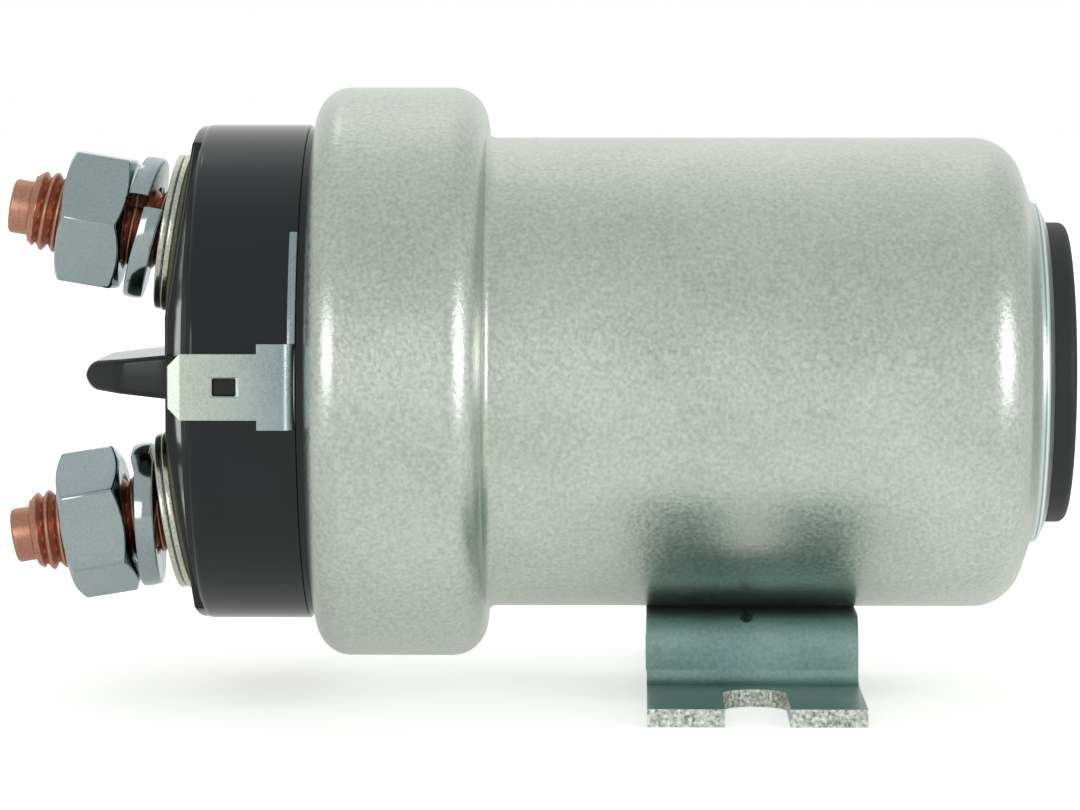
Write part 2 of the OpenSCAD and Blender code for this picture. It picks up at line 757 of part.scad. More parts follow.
module spring_washers() {
    inner_r = stud_d / 2 + loose_fit;
    color("silver") for (side = [lower_side, upper_side])
        on_stud(side) translate([0, 0, s_spring_washer])
            split_washer(spring_washer_d / 2, inner_r, spring_washer_t, spring_washer_h,
                         side == upper_side ? upper_split : lower_split,
                         side == upper_side ? upper_rise_shares : lower_rise_shares);
}

// A nut turned on its stud, with both ends chamfered
module hex_nut(side, turn) {
    corner_r = nut_af / 2 / cos(30);
    face_share = 0.97;
    chamfer_in = corner_r - face_share * nut_af / 2;
    chamfer_h = chamfer_in * tan(30);
    on_stud(side) translate([0, 0, s_nut]) rotate([0, 0, turn]) difference() {
        intersection() {
            cylinder(r = corner_r, h = nut_h, $fn = 6);
            rotate_extrude() polygon([
                [0, 0], [corner_r - chamfer_in, 0], [corner_r, chamfer_h],
                [corner_r, nut_h - chamfer_h], [corner_r - chamfer_in, nut_h], [0, nut_h]]);
        }
        translate([0, 0, -overrun]) cylinder(r = pitch_d / 2 + fixed_fit, h = nut_h + 2 * overrun);
    }
}

module hex_nuts() {
    color("silver") {
        hex_nut(upper_side, upper_nut_turn);
        hex_nut(lower_side, lower_nut_turn);
    }
}

// The strip of the blade terminal: a flat band in a slot of the cap's near side
module terminal_strip(grow, inner_r, outer_r) {
    half = shoulder_w / 2;
    translate([x_blade_bend - grow, 0, 0]) intersection() {
        translate([0, 0, axis_z]) rotate([0, 90, 0]) difference() {
            cylinder(r = outer_r, h = blade_t + 2 * grow);
            translate([0, 0, -overrun]) cylinder(r = inner_r, h = blade_t + 2 * overrun);
        }
        translate([-overrun, -2 * cap_r, axis_z - half - grow])
            cube([blade_t + 2 * overrun, 2 * cap_r, half + strip_top + 2 * grow]);
    }
}

// Blade terminal: the blade, its wide shoulder, the bend and the strip in the cap
module blade_terminal() {
    half = blade_w / 2;
    wide = shoulder_w / 2;
    x_shoulder_edge = x_blade_bend + blade_t - shoulder_len;
    x_lock = x_blade_tip + lock_from_tip;
    strip_reach = cap_r + blade_gap + blade_t / 2 - strip_in_r;
    color("silver") union() {
        difference() {
            translate([0, y_blade, axis_z]) rotate([90, 0, 0]) linear_extrude(blade_t)
                polygon([[x_blade_tip, -half + tip_bevel], [x_blade_tip + tip_bevel, -half],
                         [x_shoulder_edge, -half], [x_shoulder_edge, -wide],
                         [x_blade_bend + blade_t, -wide], [x_blade_bend + blade_t, wide],
                         [x_shoulder_edge, wide], [x_shoulder_edge, half],
                         [x_blade_tip + tip_bevel, half], [x_blade_tip, half - tip_bevel]]);
            translate([x_lock - lock_len / 2, y_blade - blade_t - overrun, axis_z - lock_w / 2])
                cube([lock_len, blade_t + 2 * overrun, lock_w]);
        }
        translate([x_blade_bend, y_blade - blade_t / 2, axis_z - wide])
            cube([blade_t, strip_reach, shoulder_w]);
        terminal_strip(0, strip_in_r, strip_out_r);
    }
}

// Plunger: soft iron, bored for the rod, with a pocket for the return spring
module plunger() {
    pocket_r = return_spring_d / 2 + return_wire;
    edge_share = 0.08;
    edge = edge_share * plunger_r;
    color("dimgray") turned([
        [pocket_r, x_plunger_face], [plunger_r - edge, x_plunger_face],
        [plunger_r, x_plunger_face + edge], [plunger_r, x_plunger_end - edge],
        [plunger_r - edge, x_plunger_end], [0, x_plunger_end], [0, x_rod_end],
        [rod_r + fixed_fit, x_rod_end], [rod_r + fixed_fit, x_plunger_face + spring_pocket],
        [pocket_r, x_plunger_face + spring_pocket]]);
}

// The rod's groove and the clip in it, as shares of the radius of the rod's front end
groove_share = 0.8;
clip_share = 1.55;

// Rod: thick through the core, thin in front, where the contact disc slides on it
module plunger_rod() {
    groove_r = groove_share * rod_front_r;
    color("lightgray") turned([
        [0, x_rod_tip], [rod_front_r - stack_gap * 4, x_rod_tip],
        [rod_front_r, x_rod_tip + stack_gap * 4], [rod_front_r, x_clip], [groove_r, x_clip],
        [groove_r, x_clip + clip_t], [rod_front_r, x_clip + clip_t],
        [rod_front_r, x_rod_step], [rod_r, x_rod_step], [rod_r, x_rod_end - stack_gap],
        [0, x_rod_end - stack_gap]]);
}

module spring_seat() {
    color("silver")
        ring(rod_front_r + fixed_fit, contact_spring_d / 2 + contact_wire, x_spring_seat,
             x_spring_seat + seat_washer_t);
}

// Clip: an open ring in the groove of the rod's front end
module rod_clip() {
    clip_in_r = groove_share * rod_front_r + fixed_fit;
    clip_out_r = clip_share * rod_front_r;
    mouth_share = 0.8;
    mouth = mouth_share * clip_in_r;
    color("gray") difference() {
        ring(clip_in_r, clip_out_r, x_clip + stack_gap / 2, x_clip + clip_t - stack_gap / 2);
        translate([x_clip - overrun, -mouth, axis_z - 2 * clip_out_r])
            cube([clip_t + 2 * overrun, 2 * mouth, 2 * clip_out_r]);
    }
}

module return_spring() {
    length = 2 * spring_pocket + travel + shim_gap - 2 * stack_gap;
    color("steelblue") on_axis() translate([0, 0, x_core_face - spring_pocket + stack_gap])
        coil_spring(return_spring_d / 2, return_wire, length, return_curls);
}

module contact_spring() {
    color("steelblue") on_axis() translate([0, 0, x_bush_back + stack_gap])
        coil_spring(contact_spring_d / 2, contact_wire, contact_spring_len, contact_curls);
}

module contact_disc() {
    color("chocolate") ring(bush_d / 2 + fixed_fit, disc_r, x_disc, x_disc_back);
}

// Bush: a flange behind the disc and a sleeve through it, free to slide on the rod
module bridge_bush() {
    bore_r = rod_front_r + running_fit;
    color("peru") turned([
        [bore_r, x_disc - front_ring_t], [bush_d / 2, x_disc - front_ring_t],
        [bush_d / 2, x_disc_back + stack_gap], [bush_flange_d / 2, x_disc_back + stack_gap],
        [bush_flange_d / 2, x_bush_back], [bore_r, x_bush_back]]);
}

module front_insulator() {
    color("peru")
        ring(bush_d / 2 + fixed_fit, front_ring_d / 2, x_disc - front_ring_t - stack_gap,
             x_disc - stack_gap);
}

can();
foot_bracket();
terminal_cap();
cap_gasket();
pole_plate();
fixed_core();
guide_tube();
coil_bobbin();
coil_winding();
coil_wrap();
coil_lead_live();
coil_lead_earth();
end_yoke();
stop_washer();
end_plug();
stud_upper();
stud_lower();
stud_seals();
flat_washers();
spring_washers();
hex_nuts();
blade_terminal();
plunger();
plunger_rod();
spring_seat();
rod_clip();
return_spring();
contact_spring();
contact_disc();
bridge_bush();
front_insulator();
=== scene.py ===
# %% [markdown]
# # Starter solenoid relay: the looks
#
# The imported model is the fixed frame. This script loads it, gives every piece its finish and lights it on a
# small studio table. The pieces that the camera sees are made again here in finer meshes, on the same
# sizes. The pieces inside the can keep their own meshes, apart from the two coil springs, which are copied
# onto objects of their own. All lengths are written in millimetres, and MM turns them to metres.

# %% The frame, and how large it is
import bpy
import bmesh
import json
from math import atan, cos, pi, radians, sin, sqrt, tan
from mathutils import Matrix, Vector


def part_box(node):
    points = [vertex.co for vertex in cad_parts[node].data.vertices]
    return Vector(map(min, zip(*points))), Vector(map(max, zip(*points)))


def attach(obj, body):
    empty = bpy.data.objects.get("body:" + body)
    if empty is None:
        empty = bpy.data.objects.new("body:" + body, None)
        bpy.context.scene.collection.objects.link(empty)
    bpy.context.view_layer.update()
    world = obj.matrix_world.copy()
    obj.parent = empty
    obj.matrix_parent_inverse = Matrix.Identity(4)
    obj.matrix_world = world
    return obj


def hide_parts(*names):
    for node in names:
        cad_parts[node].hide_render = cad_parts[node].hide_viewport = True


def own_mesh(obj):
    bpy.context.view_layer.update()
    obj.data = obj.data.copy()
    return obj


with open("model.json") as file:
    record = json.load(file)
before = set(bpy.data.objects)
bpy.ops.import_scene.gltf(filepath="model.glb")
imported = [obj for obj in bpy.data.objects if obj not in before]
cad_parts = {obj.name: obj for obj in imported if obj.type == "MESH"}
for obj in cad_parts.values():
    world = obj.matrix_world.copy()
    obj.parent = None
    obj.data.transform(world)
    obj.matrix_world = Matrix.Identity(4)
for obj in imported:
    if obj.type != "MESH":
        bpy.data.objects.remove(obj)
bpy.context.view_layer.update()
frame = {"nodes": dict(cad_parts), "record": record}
MM = 0.001
AXIS_Z = (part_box("can")[0].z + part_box("can")[1].z) / 2 / MM

# %% [markdown]
# ## Camera
#
# A long lens far away keeps the edges of the relay nearly parallel, and a short lens near by would make the
# near edges large. The picture shows a little of both: it is taken from 460 mm, 3.45 degrees above level.
# The camera could be shifted or turned to put the relay in the frame. Turning it is what a photographer
# does by hand, so it is turned 1.1 degrees aside and 0.4 degrees further down, and nothing is shifted.

# %% Camera
CAMERA_AWAY, CAMERA_X, LOOK_DOWN = 460, -12.1, radians(3.45)
FOCAL_PIXELS, PICTURE_W, SENSOR_W = 4582, 1080, 36
TURN_PIXELS, TILT_PIXELS = 90, 33.5  # how far the turn and the tilt move the relay in the picture
camera_data = bpy.data.cameras.new("camera")
camera_data.sensor_width = SENSOR_W
camera_data.lens = camera_data.sensor_width * FOCAL_PIXELS / PICTURE_W
camera = bpy.data.objects.new("camera", camera_data)
camera.location = Vector((CAMERA_X, -CAMERA_AWAY * cos(LOOK_DOWN), AXIS_Z + CAMERA_AWAY * sin(LOOK_DOWN))) * MM
camera.rotation_euler = (pi / 2 - LOOK_DOWN - atan(TILT_PIXELS / FOCAL_PIXELS), 0,
                         atan(TURN_PIXELS / FOCAL_PIXELS))
bpy.context.scene.collection.objects.link(camera)
bpy.context.scene.camera = camera
bpy.context.scene.view_settings.view_transform = "Standard"
print("lens", round(camera_data.lens, 1), "mm, camera at", [round(v, 3) for v in camera.location])

# %% [markdown]
# ## Two small helpers for every finish
#
# Colours are easiest to read as the hex values of a picture, but the shader wants linear light. One
# function turns one into the other. The second adds a node to a tree, with its settings, its values and
# its links, so that each finish below reads from top to bottom.

# %% Colour and node helpers
def colour(hex_value):
    """Turns an sRGB hex value into linear red, green, blue and alpha."""
    parts = [int(hex_value[i:i + 2], 16) / 255 for i in (1, 3, 5)]
    return [p / 12.92 if p <= 0.04045 else ((p + 0.055) / 1.055) ** 2.4 for p in parts] + [1]


def add(tree, kind, values=None, **settings):
    """Adds a node: settings are its properties, and a value that is a socket is linked."""
    made = tree.nodes.new(kind)
    for name, setting in settings.items():
        setattr(made, name, setting)
    for name, value in (values or {}).items():
        if isinstance(value, bpy.types.NodeSocket):
            tree.links.new(value, made.inputs[name])
        else:
            made.inputs[name].default_value = value
    return made


print("mid grey", [round(c, 3) for c in colour("#808080")])

# %% [markdown]
# ## Finishes
#
# Nearly every surface here is a plain material with a fine grain in it: the crystals of a plating, the
# skin of a moulding, the fibres of a washer. So one function makes the grain. It takes two colours, the
# size of the grain in millimetres, the roughness at its two ends, and how deep the grain stands. A slow
# cloud, many grains wide, keeps the surface from looking like one flat paint.
#
# A pixel of the picture is 0.1 mm wide, and the real grain of most of these surfaces is as fine as that or
# finer. So the grains are drawn two to four times as coarse as they are, as far as they need to show.

# %% A grained finish
CLOUD_GRAINS = 26  # how many grains wide the slow cloud is
NOISE_LOW, NOISE_HIGH = 0.3, 0.7  # nearly all of a noise lies between these
FINISHES = {}


def grained(name, dark, light, grain, rough, depth=0.0, metal=0.0, cloud=0.35, **shader):
    """A material with a fine grain of that size in millimetres and a slow cloud over it."""
    made = FINISHES[name] = bpy.data.materials.new(name)
    made.use_nodes = True
    tree = made.node_tree
    surface = tree.nodes["Principled BSDF"]
    place = add(tree, "ShaderNodeTexCoord").outputs["Object"]
    fine = add(tree, "ShaderNodeTexNoise",
               {"Vector": place, "Scale": 1 / (grain * MM), "Detail": 3.0, "Roughness": 0.55})
    slow = add(tree, "ShaderNodeTexNoise",
               {"Vector": place, "Scale": 1 / (grain * CLOUD_GRAINS * MM), "Detail": 2.0})
    both = add(tree, "ShaderNodeMix", {"Factor": cloud, "A": fine.outputs["Fac"], "B": slow.outputs["Fac"]})
    ramp = add(tree, "ShaderNodeValToRGB", {"Fac": both.outputs["Result"]})
    ends = ramp.color_ramp.elements
    ends[0].position, ends[1].position = NOISE_LOW, NOISE_HIGH
    ends[0].color, ends[1].color = colour(dark), colour(light)
    sheen = add(tree, "ShaderNodeMapRange",
                {"Value": both.outputs["Result"], "From Min": NOISE_LOW, "From Max": NOISE_HIGH,
                 "To Min": rough[0], "To Max": rough[1]})
    tree.links.new(ramp.outputs["Color"], surface.inputs["Base Color"])
    tree.links.new(sheen.outputs["Result"], surface.inputs["Roughness"])
    if depth:
        bump = add(tree, "ShaderNodeBump",
                   {"Height": fine.outputs["Fac"], "Strength": 1.0, "Distance": depth * MM})
        tree.links.new(bump.outputs["Normal"], surface.inputs["Normal"])
    surface.inputs["Metallic"].default_value = metal
    for socket, value in shader.items():
        surface.inputs[socket.replace("_", " ")].default_value = value
    return made


# %% [markdown]
# ### Zinc, tin and copper
#
# The steel of the relay is zinc plated, in three baths that look different: satin on the can, with a
# passivated film on the bracket, and bright on the nuts. The blade is tinned brass and the studs are bare
# copper. Each could have its own tree, but only grain, gloss and colour differ, so all of them come from
# the grained finish. They are metals, so they keep the default IOR.

# %% Metals that the camera sees
# Satin zinc on drawn steel: crystals of 0.1 to 0.2 mm break up what it mirrors, which gives a soft warm grey.
grained("zinc_can", "#b9c0b8", "#dde1da", grain=0.42, rough=(0.27, 0.4), depth=0.036, metal=1.0, cloud=0.25)
# Passivated zinc on the bracket: the film tints it green and blue in clouds, and is no metal itself.
grained("zinc_bracket", "#718c8e", "#9ab6af", grain=0.35, rough=(0.26, 0.38), depth=0.01, metal=0.85, cloud=0.55)
# Barrel-plated zinc on nuts and spring washers: smooth and bluish, so it mirrors nearly sharply.
grained("zinc_hardware", "#9ba9ab", "#b0bdbf", grain=0.25, rough=(0.09, 0.15), depth=0.003, metal=1.0)
# Plating on punched flat washers: paler, warmer and duller than the nuts.
grained("washer_plating", "#a6aa9d", "#e6e7da", grain=0.3, rough=(0.16, 0.28), depth=0.012, metal=1.0)
# Tin on brass: a pale satin that scatters most of what it mirrors.
grained("tinned_blade", "#c4c9c6", "#e0e2df", grain=0.2, rough=(0.24, 0.34), depth=0.008, metal=1.0)
# Bare copper, turned and threaded: pink to brown, with the dull sheen of cut metal.
grained("copper", "#b0745e", "#cd9d87", grain=0.3, rough=(0.28, 0.42), depth=0.01, metal=1.0)
# A sheared edge of plated steel, torn and rough: light and dark specks stand side by side, and the near-white ones
# are painted glints.
grained("zinc_cut_and_glints", "#66716b", "#f6f8f0", grain=0.34, rough=(0.25, 0.6), depth=0.2, metal=1.0, cloud=0.1)
print("metals:", list(FINISHES))

# %% [markdown]
# ### Tin along the blade
#
# The blade is paler towards its tip and bluer at its shoulder. It could be split into two finishes, but the
# change is soft, so the grained colour is multiplied by a second one that depends on the place along X.

# %% Tin that is paler at the tip
TIN_PALE_X, TIN_BLUE_X = -54, -46
tree = FINISHES["tinned_blade"].node_tree
place = add(tree, "ShaderNodeTexCoord").outputs["Object"]
along = add(tree, "ShaderNodeSeparateXYZ", {"Vector": place}).outputs["X"]
from_tip = add(tree, "ShaderNodeMapRange",
               {"Value": along, "From Min": TIN_PALE_X * MM, "From Max": TIN_BLUE_X * MM})
tone = add(tree, "ShaderNodeMix",
           {"Factor": from_tip.outputs["Result"], "A": colour("#f3f7ee"), "B": colour("#c0cdd3")},
           data_type="RGBA")
tin = tree.nodes["Principled BSDF"].inputs["Base Color"]
both_tones = add(tree, "ShaderNodeMix", {"Factor": 1.0, "A": tin.links[0].from_socket, "B": tone.outputs[2]},
                 data_type="RGBA", blend_type="MULTIPLY")
tree.links.new(both_tones.outputs[2], tin)
print("tin changes from", TIN_PALE_X, "to", TIN_BLUE_X, "mm")

# %% [markdown]
# ### The rolled collar
#
# The can's collar is sized by a roll, which leaves it smoother and bluer, with rings round the axis. The
# rings differ in tone and stand about 0.25 mm apart. They could be cut as fine grooves, but they are marks
# without a depth that one could see, so they are a noise that depends on the place along the axis alone.

# %% Zinc with the marks of a roll
RING_APART, RING_DARK, RING_LIGHT = 0.25, 0.36, 0.62
tree = grained("zinc_collar", "#aab9ba", "#dfe7e5", grain=0.3, rough=(0.28, 0.42), depth=0.02, metal=1.0).node_tree
place = add(tree, "ShaderNodeTexCoord").outputs["Object"]
along = add(tree, "ShaderNodeSeparateXYZ", {"Vector": place}).outputs["X"]
marks = add(tree, "ShaderNodeTexNoise", {"W": along, "Scale": 1 / (RING_APART * MM), "Detail": 2.0},
            noise_dimensions="1D")
ring_tone = add(tree, "ShaderNodeValToRGB", {"Fac": marks.outputs["Fac"]})
ends = ring_tone.color_ramp.elements
ends[0].position, ends[1].position = RING_DARK, RING_LIGHT
ends[0].color, ends[1].color = colour("#93a7a8"), colour("#f2f8f6")
tree.links.new(ring_tone.outputs["Color"], tree.nodes["Principled BSDF"].inputs["Base Color"])
print("rings", RING_APART, "mm apart")

# %% [markdown]
# ### Mouldings, rubber and fibre
#
# The cap is a glass-filled thermoset, moulded in a polished tool. Its grain is the filler under the skin.
# The cap's bevel looks at the bright back, and painted shade keeps it black: it gets a duller copy of the
# moulding, which mirrors little.

# %% Plastics, rubber and fibre that the camera sees
# Polished thermoset: near black, and smooth enough to show pale bands where it turns away.
grained("cap_moulding", "#0a0f13", "#10161b", grain=0.15, rough=(0.1, 0.18), depth=0.002, IOR=1.46)
# Painted shade on the bevel: a copy of the same thermoset that mirrors little, so it stays black at a flat angle.
grained("cap_bevel_shaded", "#0b0d0e", "#15181a", grain=0.25, rough=(0.5, 0.62), depth=0.02, IOR=1.46,
        Specular_IOR_Level=0.12)
# Moulded rubber: dull and dark grey, so its edge shows no sharp light.
grained("plug_rubber", "#181a1b", "#252829", grain=0.3, rough=(0.5, 0.64), depth=0.02, IOR=1.5)
# Vulcanised fibre: an olive board like hard paper, without gloss.
grained("seal_fibre", "#4b4a38", "#7c7a5e", grain=0.25, rough=(0.5, 0.7), depth=0.03, IOR=1.5)
print("plastics, rubber and fibre:", list(FINISHES)[-4:])

# %% [markdown]
# ### What the can hides
#
# The pieces inside get finishes of the same kind, each named for what it is made of. The winding is many
# turns of enamelled wire side by side. It could be modelled turn by turn, but nobody sees it in the closed
# can, so its finish has bands of one wire's width, 0.9 mm, round the axis.

# %% Finishes of the pieces inside
# Pressed gasket board: brown and dull.
grained("gasket_fibre", "#4a3626", "#6b513a", grain=0.3, rough=(0.6, 0.8), depth=0.03, IOR=1.5)
# Machined soft iron: a plain grey with a low sheen.
grained("soft_iron", "#8f9192", "#a9abab", grain=0.2, rough=(0.35, 0.5), depth=0.006, metal=1.0)
# Drawn brass tube: yellow and fairly bright.
grained("brass", "#c9a75c", "#e0c27c", grain=0.25, rough=(0.22, 0.34), depth=0.004, metal=1.0)
# Moulded nylon: off-white, with a soft sheen.
grained("nylon", "#ddd8c6", "#ece8da", grain=0.4, rough=(0.4, 0.5), depth=0.01, IOR=1.53)
# Polyester film round the coil: amber and shiny.
grained("wrap_film", "#c9a955", "#dcc27a", grain=0.5, rough=(0.25, 0.35), depth=0.01, IOR=1.6)
# Drawn spring wire: a cool grey.
grained("spring_steel", "#8d939b", "#a9afb6", grain=0.2, rough=(0.25, 0.35), depth=0.004, metal=1.0)
# Cotton laminate: tan and mottled, with little gloss.
grained("bush_laminate", "#7a5634", "#9c7650", grain=0.35, rough=(0.45, 0.6), depth=0.02, IOR=1.55)
# Ground steel rod: pale and bright.
grained("rod_steel", "#bcc0c2", "#d0d3d4", grain=0.15, rough=(0.18, 0.26), depth=0.002, metal=1.0)


def wound_wire(name, wire):
    """Enamelled copper wire side by side: round bands of one wire's width along the axis."""
    made = grained(name, "#8a3f1d", "#b5602f", grain=0.3, rough=(0.18, 0.3), metal=0.9, Coat_Weight=0.6)
    tree = made.node_tree
    place = add(tree, "ShaderNodeTexCoord").outputs["Object"]
    along = add(tree, "ShaderNodeSeparateXYZ", {"Vector": place}).outputs["X"]
    turns = add(tree, "ShaderNodeMath", {0: along, 1: 2 * pi / (wire * MM)}, operation="MULTIPLY")
    hump = add(tree, "ShaderNodeMath", {0: turns.outputs["Value"]}, operation="SINE")
    bump = add(tree, "ShaderNodeBump", {"Height": hump.outputs["Value"], "Distance": wire / 4 * MM})
    tree.links.new(bump.outputs["Normal"], tree.nodes["Principled BSDF"].inputs["Normal"])
    return made


wound_wire("enamelled_wire", 0.9)
slot_of = {row["node"]: row["material_slot"] for row in frame["record"]["subparts"]}
for node_name, node_object in frame["nodes"].items():
    node_object.data.materials.clear()
    node_object.data.materials.append(FINISHES[slot_of[node_name]])
print(len(FINISHES), "finishes on", len(slot_of), "nodes")

# %% [markdown]
# ## Helpers for shapes
#
# Turned pieces are half of this relay, so one function turns an outline round an axis. The outline is a
# list of corners, each with the radius that rounds it. The axis can be the relay's own or a stud's: a
# small frame of three directions says where the outline's "along" and "out" point. What isn't turned is
# mostly a row of rings with a skin over them, and a second function makes that skin.

# %% Rounded outlines
def rounded(corners, closed=True, steps=8):
    """Corners are (along, out, radius). Each one is rounded by an arc of that radius."""
    points, count = [], len(corners)
    for i, (a, r, radius) in enumerate(corners):
        here = Vector((a, r))
        if radius <= 0 or (not closed and i in (0, count - 1)):
            points.append((a, r))
            continue
        to_before = (Vector(corners[i - 1][:2]) - here).normalized()
        to_after = (Vector(corners[(i + 1) % count][:2]) - here).normalized()
        half = to_before.angle(to_after) / 2
        reach = radius / tan(half)
        centre = here + (to_before + to_after).normalized() * (radius / sin(half))
        start, end = here + to_before * reach - centre, here + to_after * reach - centre
        turn = start.angle_signed(end)
        for k in range(steps + 1):
            arm = start.copy()
            arm.rotate(Matrix.Rotation(-turn * k / steps, 2))
            points.append(tuple(centre + arm))
    return points


print("a rounded square has", len(rounded([(0, 0, 1), (4, 0, 1), (4, 4, 1), (0, 4, 1)])), "points")

# %% Outlines turned round an axis, and rings with a skin
ON_AXIS = 1e-6  # a radius below this is a point on the axis


class Axis:
    """A place and three directions, in millimetres: along the axis, and two square to it."""

    def __init__(self, origin, along, up):
        self.origin, self.along, self.up = Vector(origin), Vector(along).normalized(), Vector(up).normalized()
        self.side = self.along.cross(self.up)

    def at(self, along, out, angle):
        arm = self.up * cos(angle) + self.side * sin(angle)
        return (self.origin + self.along * along + arm * out) * MM


RELAY = Axis((0, 0, AXIS_Z), (1, 0, 0), (0, 0, 1))


def turned(outline, axis=RELAY, steps=160, closed=True):
    """Vertices and faces of an outline turned round an axis."""
    verts, rings, faces = [], [], []
    for a, r in outline:
        if r < ON_AXIS:
            rings.append([len(verts)])
            verts.append(axis.at(a, 0, 0))
        else:
            rings.append(list(range(len(verts), len(verts) + steps)))
            verts += [axis.at(a, r, 2 * pi * k / steps) for k in range(steps)]
    pairs = list(zip(rings, rings[1:])) + ([(rings[-1], rings[0])] if closed else [])
    for one, two in pairs:
        for k in range(steps):
            loop = [one[k % len(one)], one[(k + 1) % len(one)], two[(k + 1) % len(two)], two[k % len(two)]]
            loop = list(dict.fromkeys(loop))
            if len(loop) > 2:
                faces.append(loop)
    return verts, faces


def skinned(rings, closed=False, capped=False):
    """Vertices and faces of a skin over rings of points, with the last ring joined to the first, or caps."""
    size, count = len(rings[0]), len(rings)
    verts, faces = [point for ring in rings for point in ring], []
    for i in range(count if closed else count - 1):
        one, two = i * size, (i + 1) % count * size
        faces += [[one + k, one + (k + 1) % size, two + (k + 1) % size, two + k] for k in range(size)]
    if capped:
        faces += [list(range(size)), list(range((count - 1) * size, count * size))]
    return verts, faces


print("the relay's axis starts at", tuple(RELAY.origin))

# %% [markdown]
# A piece is then put into the scene in one step: its mesh, its finish, smooth shading that keeps the real
# corners sharp, the body that it moves with and the node that it stands for. Pieces that are pressed or
# plated as one are joined from several shells, and a bevel modifier rounds the edges of what was cut.

# %% From vertices and faces to an object
SAME_PLACE = 1e-7  # metres: vertices closer than this are one


def put_mesh(name, verts, faces):
    mesh = bpy.data.meshes.new(name)
    mesh.from_pydata([tuple(v) for v in verts], [], faces)
    shape = bmesh.new()
    shape.from_mesh(mesh)
    bmesh.ops.remove_doubles(shape, verts=shape.verts, dist=SAME_PLACE)
    bmesh.ops.recalc_face_normals(shape, faces=shape.faces)
    shape.to_mesh(mesh)
    shape.free()
    made = bpy.data.objects.new(name, mesh)
    bpy.context.scene.collection.objects.link(made)
    return made


def join(name, shells):
    """One mesh out of several lists of vertices and faces."""
    verts, faces = [], []
    for some_verts, some_faces in shells:
        faces += [[i + len(verts) for i in face] for face in some_faces]
        verts += list(some_verts)
    return put_mesh(name, verts, faces)


def shell_of(made):
    """Takes an object out of the scene and gives back its vertices and faces, to be joined with others."""
    shell = [v.co.copy() for v in made.data.vertices], [list(f.vertices) for f in made.data.polygons]
    bpy.data.objects.remove(made)
    return shell


def applied(made):
    """Works the modifiers of a piece into its mesh."""
    graph = bpy.context.evaluated_depsgraph_get()
    mesh = bpy.data.meshes.new_from_object(made.evaluated_get(graph))
    made.modifiers.clear()
    made.data = mesh
    return made


def round_edges(made, edge, segments=3, limit=30):
    bevel = made.modifiers.new("edges", "BEVEL")
    bevel.width, bevel.segments, bevel.limit_method = edge * MM, segments, "ANGLE"
    bevel.angle_limit = radians(limit)
    return applied(made)


print("vertices closer than", SAME_PLACE, "m are one")

# %% From an object to a piece that rides on a body
def coat(made, *finishes):
    """Lays several finishes ready on a piece. Its faces use the first, unless they are told otherwise."""
    for finish in finishes:
        made.data.materials.append(FINISHES[finish])


def dress(made, finish, node_name, sharp=32, body="housing"):
    """Gives a piece its finish and shading, and lets it stand for a node of the frame."""
    if not made.data.materials:
        coat(made, finish)
    for face in made.data.polygons:
        face.use_smooth = True
    made.data.set_sharp_from_angle(angle=radians(sharp))
    even = made.modifiers.new("even", "WEIGHTED_NORMAL")
    even.keep_sharp = True
    applied(made)
    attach(made, body)
    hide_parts(node_name)
    print(made.name, len(made.data.vertices), "vertices,", finish)
    return made


# %% [markdown]
# ## The can
#
# The can is drawn from one sheet, 1.3 mm thick. Its wide end is rolled over the cap and its other end is
# drawn in to a collar. It could be a subdivided cylinder, but the real one is turned and pressed round,
# so its outline is turned: outside from the rolled rim to the mouth, and inside back again. The faces of
# the collar get the finish with the marks of the roll, and all others the satin zinc.

# %% The can
SHEET = 1.3
X_RIM, X_SHOULDER, X_END, X_COLLAR = -43.2, -26.3, 27.7, 29.1
CAN_R, FLANGE_R, RIM_R, SHOULDER_R, NECK_R = 23.45, 28.45, 3.3, 3.5, 0.9
COLLAR_R, COLLAR_TOP_R, MOUTH_R, LIP_R = 17.2, 15.1, 13.5, 24.84
LIP_BACK, LIP_OUT, LIP_EDGE, LIP_IN_EDGE = 0.1, 0.12, 0.05, 0.1
END_SLOPE, CORNER_R, CORNER_IN_R, FOOT_R = 2.2, 4.8, 3.5, 0.35
TAPER_X, TAPER_R, TAPER_ROUND = 0.6, 0.35, 0.7
TOP_OUT, TOP_ROUND, MOUTH_EDGE = 0.4, 0.5, 0.2
FOLD_TOP_IN, FOLD_IN, FOLD_R, COLLAR_FROM = 0.9, 0.8, 0.4, 0.1
outside = [(X_RIM + LIP_BACK, LIP_R, 0), (X_RIM, LIP_R + LIP_OUT, LIP_EDGE), (X_RIM, FLANGE_R, RIM_R),
           (X_SHOULDER, FLANGE_R, SHOULDER_R), (X_SHOULDER, CAN_R, NECK_R), (X_END - END_SLOPE, CAN_R, CORNER_R),
           (X_END, COLLAR_R, FOOT_R), (X_COLLAR - TAPER_X, COLLAR_R - TAPER_R, TAPER_ROUND),
           (X_COLLAR, COLLAR_TOP_R + TOP_OUT, TOP_ROUND), (X_COLLAR, MOUTH_R, MOUTH_EDGE)]
inside = [(X_COLLAR - SHEET, MOUTH_R, MOUTH_EDGE), (X_COLLAR - SHEET, COLLAR_TOP_R - FOLD_TOP_IN, FOLD_R),
          (X_END - SHEET, COLLAR_R - FOLD_IN, FOLD_R), (X_END - END_SLOPE - SHEET, CAN_R - SHEET, CORNER_IN_R),
          (X_SHOULDER - SHEET, CAN_R - SHEET, NECK_R + SHEET),
          (X_SHOULDER - SHEET, FLANGE_R - SHEET, SHOULDER_R - SHEET),
          (X_RIM + SHEET, FLANGE_R - SHEET, RIM_R - SHEET), (X_RIM + SHEET, LIP_R, LIP_IN_EDGE)]
can = put_mesh("drawn_can", *turned(rounded(outside + inside, steps=12), steps=256))
coat(can, "zinc_can", "zinc_collar")
